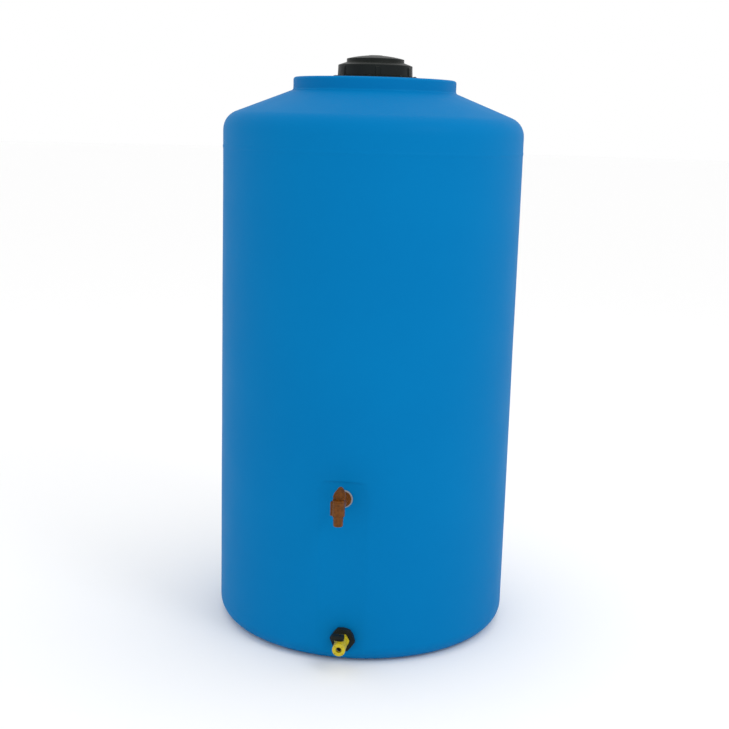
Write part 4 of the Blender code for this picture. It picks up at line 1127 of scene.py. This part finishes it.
def make_valve_body():
    far = seat_sizes()[2]
    cavity_rear = BALL_OUT - far - GAP
    inlet_end = BODY_REAR - INLET_L
    flats_end = BODY_REAR + VALVE_FLATS_L
    thread_top = BODY_REAR - PLAIN_END
    thread = screw_thread(SHANK_PITCH, SHANK_THREAD_D, inlet_end, thread_top, INLET_R)

    wall_middle = (CAVITY_R + VALVE_R) / 2

    def flats(theta, r, z):
        on_flats = (r > wall_middle) & (z < flats_end)
        return np.where(on_flats, np.maximum(r, hex_radius(theta, VALVE_FLATS_AF)), r), z

    body = revolve("valve", [
        (VALVE_WATERWAY_R, inlet_end, 0.0004),
        (VALVE_WATERWAY_R, cavity_rear),
        (CAVITY_R, cavity_rear),
        (CAVITY_R, BODY_FRONT, 0.0004),
        (VALVE_R, BODY_FRONT, 0.0009),
        (VALVE_R, flats_end + VALVE_STEP_AFTER),
        (VALVE_R, flats_end - VALVE_STEP_BEFORE),
        (VALVE_R, BODY_REAR + VALVE_REAR_CHAMFER),
        (VALVE_R - VALVE_REAR_CHAMFER, BODY_REAR),
        (INLET_R, BODY_REAR),
        *rows(INLET_R, BODY_REAR, inlet_end, SHANK_PITCH / THREAD_ROWS),
        (INLET_R, inlet_end, 0.0005),
    ], around(HEX_SIDES), one_after_another(flats, thread), closed=True)
    to_outlet = Matrix.Translation((0, BALL_OUT, 0)) @ OUTWARD
    placed(body, to_outlet)
    boss = revolve("boss", [(0, BOSS_UP), (BOSS_R, BOSS_UP, 0.0010), (BOSS_R, 0), (0, 0)])
    hollow = placed(rod("hollow", wall_middle, BODY_REAR, VALVE_FRONT), to_outlet)
    cut(boss, hollow)
    bore = rod("bore", STEM_R + 1.5 * GAP, 0, BOSS_UP + PAST)
    join(body, boss)
    cut(body, bore)
    finish(body, "valve_body", ON_STEM)


def make_valve_trim():
    meets, near, far = seat_sizes()
    lip_r = sqrt((BALL_R + GAP) ** 2 - near**2) + GAP / 2
    for node, side in (("valve_seat_outlet", 1), ("valve_seat_inlet", -1)):
        corners = [
            (SEAT_BORE_R, BALL_OUT + side * meets),
            (SEAT_BORE_R, BALL_OUT + side * far),
            (SEAT_R, BALL_OUT + side * far),
            (SEAT_R, BALL_OUT + side * near),
            (lip_r, BALL_OUT + side * near),
        ]
        finish(revolve(node, corners[::side], closed=True), node, ON_OUTLET)
    cap_foot = BODY_FRONT + GAP
    inner_end = BALL_OUT + far + GAP
    cap = revolve("end_cap", [
        (END_CAP_BORE_R, inner_end),
        (END_CAP_BORE_R, VALVE_FRONT - END_CAP_MOUTH_D, 0.0008),
        (END_CAP_BORE_R + END_CAP_MOUTH_W, VALVE_FRONT, 0.0008),
        (END_CAP_R, VALVE_FRONT, 0.0022),
        (END_CAP_R, cap_foot, 0.0009),
        (SEAT_R, cap_foot),
        (SEAT_R, inner_end, 0.0003),
    ], closed=True)
    slots = []
    for k in range(END_SLOT_COUNT):
        low = (END_SLOT_R[0], -END_SLOT_HALF_W, VALVE_FRONT - END_SLOT_D)
        high = (END_SLOT_R[1], END_SLOT_HALF_W, VALVE_FRONT + PAST)
        turn = Matrix.Rotation(pi / 4 + tau * k / END_SLOT_COUNT, 4, "Z")
        slots.append(placed(block("slot", low, high, 0.0006), turn))
    cut(cap, *slots)
    finish(cap, "valve_end_cap", ON_OUTLET)


def make_valve_ball():
    turns = [pi * k / SMALL for k in range(SMALL + 1)]
    half_turn = [(BALL_R * sin(turn), BALL_R * cos(turn)) for turn in turns]
    half_turn[0], half_turn[-1] = (0, BALL_R), (0, -BALL_R)
    ball = revolve("ball", half_turn)
    reach = BALL_R + PAST
    bore = rod("bore", BALL_BORE_R, -reach, reach)
    placed(bore, Matrix.Rotation(pi / 2, 4, "Y"))
    half = TANG[1] / 2 + GAP
    slot = block("slot", (-reach, -half, BALL_R - TANG[2]), (reach, half, reach))
    cut(ball, bore, slot)
    finish(ball, "valve_ball", ON_STEM)


def make_valve_stem():
    foot = BALL_R + GAP
    shaft = foot + STEM_FOOT_T
    ring_z = (shaft + BOSS_UP) / 2
    groove, half = STEM_R - 2 * STEM_RING_R, STEM_RING_R + GROOVE_SLACK
    stem = revolve("stem", [
        (0, BOSS_UP),
        (STEM_R, BOSS_UP, 0.0003),
        (STEM_R, ring_z + half),
        (groove, ring_z + half),
        (groove, ring_z - half),
        (STEM_R, ring_z - half),
        (STEM_R, shaft),
        (STEM_R + STEM_STEP, shaft),
        (STEM_R + STEM_STEP, foot, 0.0002),
        (0, foot),
    ])
    top = BOSS_UP + STEM_DRIVE_H
    side = STEM_DRIVE / 2
    drive = block("drive", (-side, -side, BOSS_UP - STEM_DRIVE_ROOT), (side, side, top), 0.0003)
    x, y, deep = TANG[0] / 2, TANG[1] / 2, TANG[2]
    tang = block("tang", (-x, -y, foot - deep), (x, y, foot + TANG_ROOT))
    join(stem, drive, tang)
    screw_end = HANDLE_TOP + GAP + HANDLE_SCREW_HEAD_H - HANDLE_SCREW_L
    cut(stem, rod("pilot", HANDLE_SCREW_R + GAP, screw_end - 2 * GAP, top + PAST, SMALL))
    finish(stem, "valve_stem", ON_STEM)
    seal = o_ring("seal", STEM_RING_R, STEM_R, ring_z)
    finish(seal, "valve_stem_o_ring", ON_STEM)


def make_valve_handle():
    handle = block(
        "handle", (-HANDLE_LONG_ARM, -HANDLE_D / 2, HANDLE_FOOT + HANDLE_UNDERCUT),
        (HANDLE_SHORT_ARM, HANDLE_D / 2, HANDLE_TOP),
        HANDLE_CORNER_R, HANDLE_BEVEL_STEPS,
    )
    hub = revolve("hub", [
        (0, HANDLE_TOP - GAP),
        (HANDLE_HUB_R, HANDLE_TOP - GAP, 0.0015),
        (HANDLE_HUB_R, HANDLE_FOOT, 0.0006),
        (0, HANDLE_FOOT),
    ])
    join(handle, hub)
    drive = STEM_DRIVE / 2 + GAP
    socket = block("socket", (-drive, -drive, 0), (drive, drive, BOSS_UP + STEM_DRIVE_H + GAP))
    hole = rod("hole", HANDLE_SCREW_R + GAP, BOSS_UP, HANDLE_TOP + PAST, SMALL)
    cut(handle, socket, hole)
    finish(handle, "valve_handle", ON_STEM)
    screw = pan_screw(
        "screw", HANDLE_SCREW_R, HANDLE_SCREW_L, HANDLE_SCREW_HEAD_R, HANDLE_SCREW_HEAD_H,
        HANDLE_SCREW_PITCH,
    )
    seat = Matrix.Translation((0, 0, HANDLE_TOP + GAP))
    finish(screw, "valve_handle_screw", ON_STEM @ seat)


# ---- studio ----

def make_floor():
    bm = bmesh.new()
    bmesh.ops.create_circle(bm, cap_ends=True, segments=FLOOR_SIDES, radius=FLOOR_R)
    floor = bm_object("floor", bm)
    floor.location.z = -FLOOR_DROP
    pale = bpy.data.materials.new("pale_floor")
    pale.use_nodes = True
    shader = pale.node_tree.nodes["Principled BSDF"]
    shader.inputs["Base Color"].default_value = (FLOOR_WHITE, FLOOR_WHITE, FLOOR_WHITE, 1)
    shader.inputs["Roughness"].default_value = 0.9
    shader.inputs["Specular IOR Level"].default_value = 0.1
    floor.data.materials.append(pale)


def area_light(name, place, size, power):
    light = bpy.data.lights.new(name, "AREA")
    light.shape = "DISK"
    light.size = size
    light.energy = power
    lamp = bpy.data.objects.new(name, light)
    bpy.context.scene.collection.objects.link(lamp)
    lamp.location = place
    lamp.rotation_euler = (Vector(MIDDLE) - Vector(place)).to_track_quat("-Z", "Y").to_euler()


def make_studio():
    make_floor()
    world = bpy.data.worlds.new("studio")
    world.use_nodes = True
    background = world.node_tree.nodes["Background"]
    background.inputs["Color"].default_value = (1, 1, 1, 1)
    background.inputs["Strength"].default_value = 1.0
    bpy.context.scene.world = world
    bpy.context.scene.view_settings.view_transform = "Standard"
    area_light("key", place=(3.2, -2.6, 4.2), size=2.0, power=45)
    area_light("top", place=(0.4, 0.2, 4.5), size=2.4, power=12)


def make_camera():
    data = bpy.data.cameras.new("camera")
    data.sensor_width = CAMERA_SENSOR
    data.lens = CAMERA_LENS
    camera = bpy.data.objects.new("camera", data)
    bpy.context.scene.collection.objects.link(camera)
    turn = Matrix.Rotation(CAMERA_TURN + CAMERA_PAN, 4, "Z")
    dip = Matrix.Rotation(pi / 2 - CAMERA_DIP, 4, "X")
    roll = Matrix.Rotation(CAMERA_ROLL, 4, "Z")
    place = (CAMERA_BACK * sin(CAMERA_TURN), -CAMERA_BACK * cos(CAMERA_TURN), CAMERA_UP)
    camera.matrix_world = Matrix.Translation(place) @ turn @ dip @ roll
    bpy.context.scene.camera = camera


# ---- build ----

MATERIALS = {slot: material(slot, **look) for slot, look in LOOKS.items()}
make_tank()
make_neck()
make_neck_screws()
make_lid()
make_vent()
make_tap_body()
make_tap_seals()
make_tap_plug()
make_bulkhead()
make_valve_body()
make_valve_trim()
make_valve_ball()
make_valve_stem()
make_valve_handle()
make_studio()
make_camera()
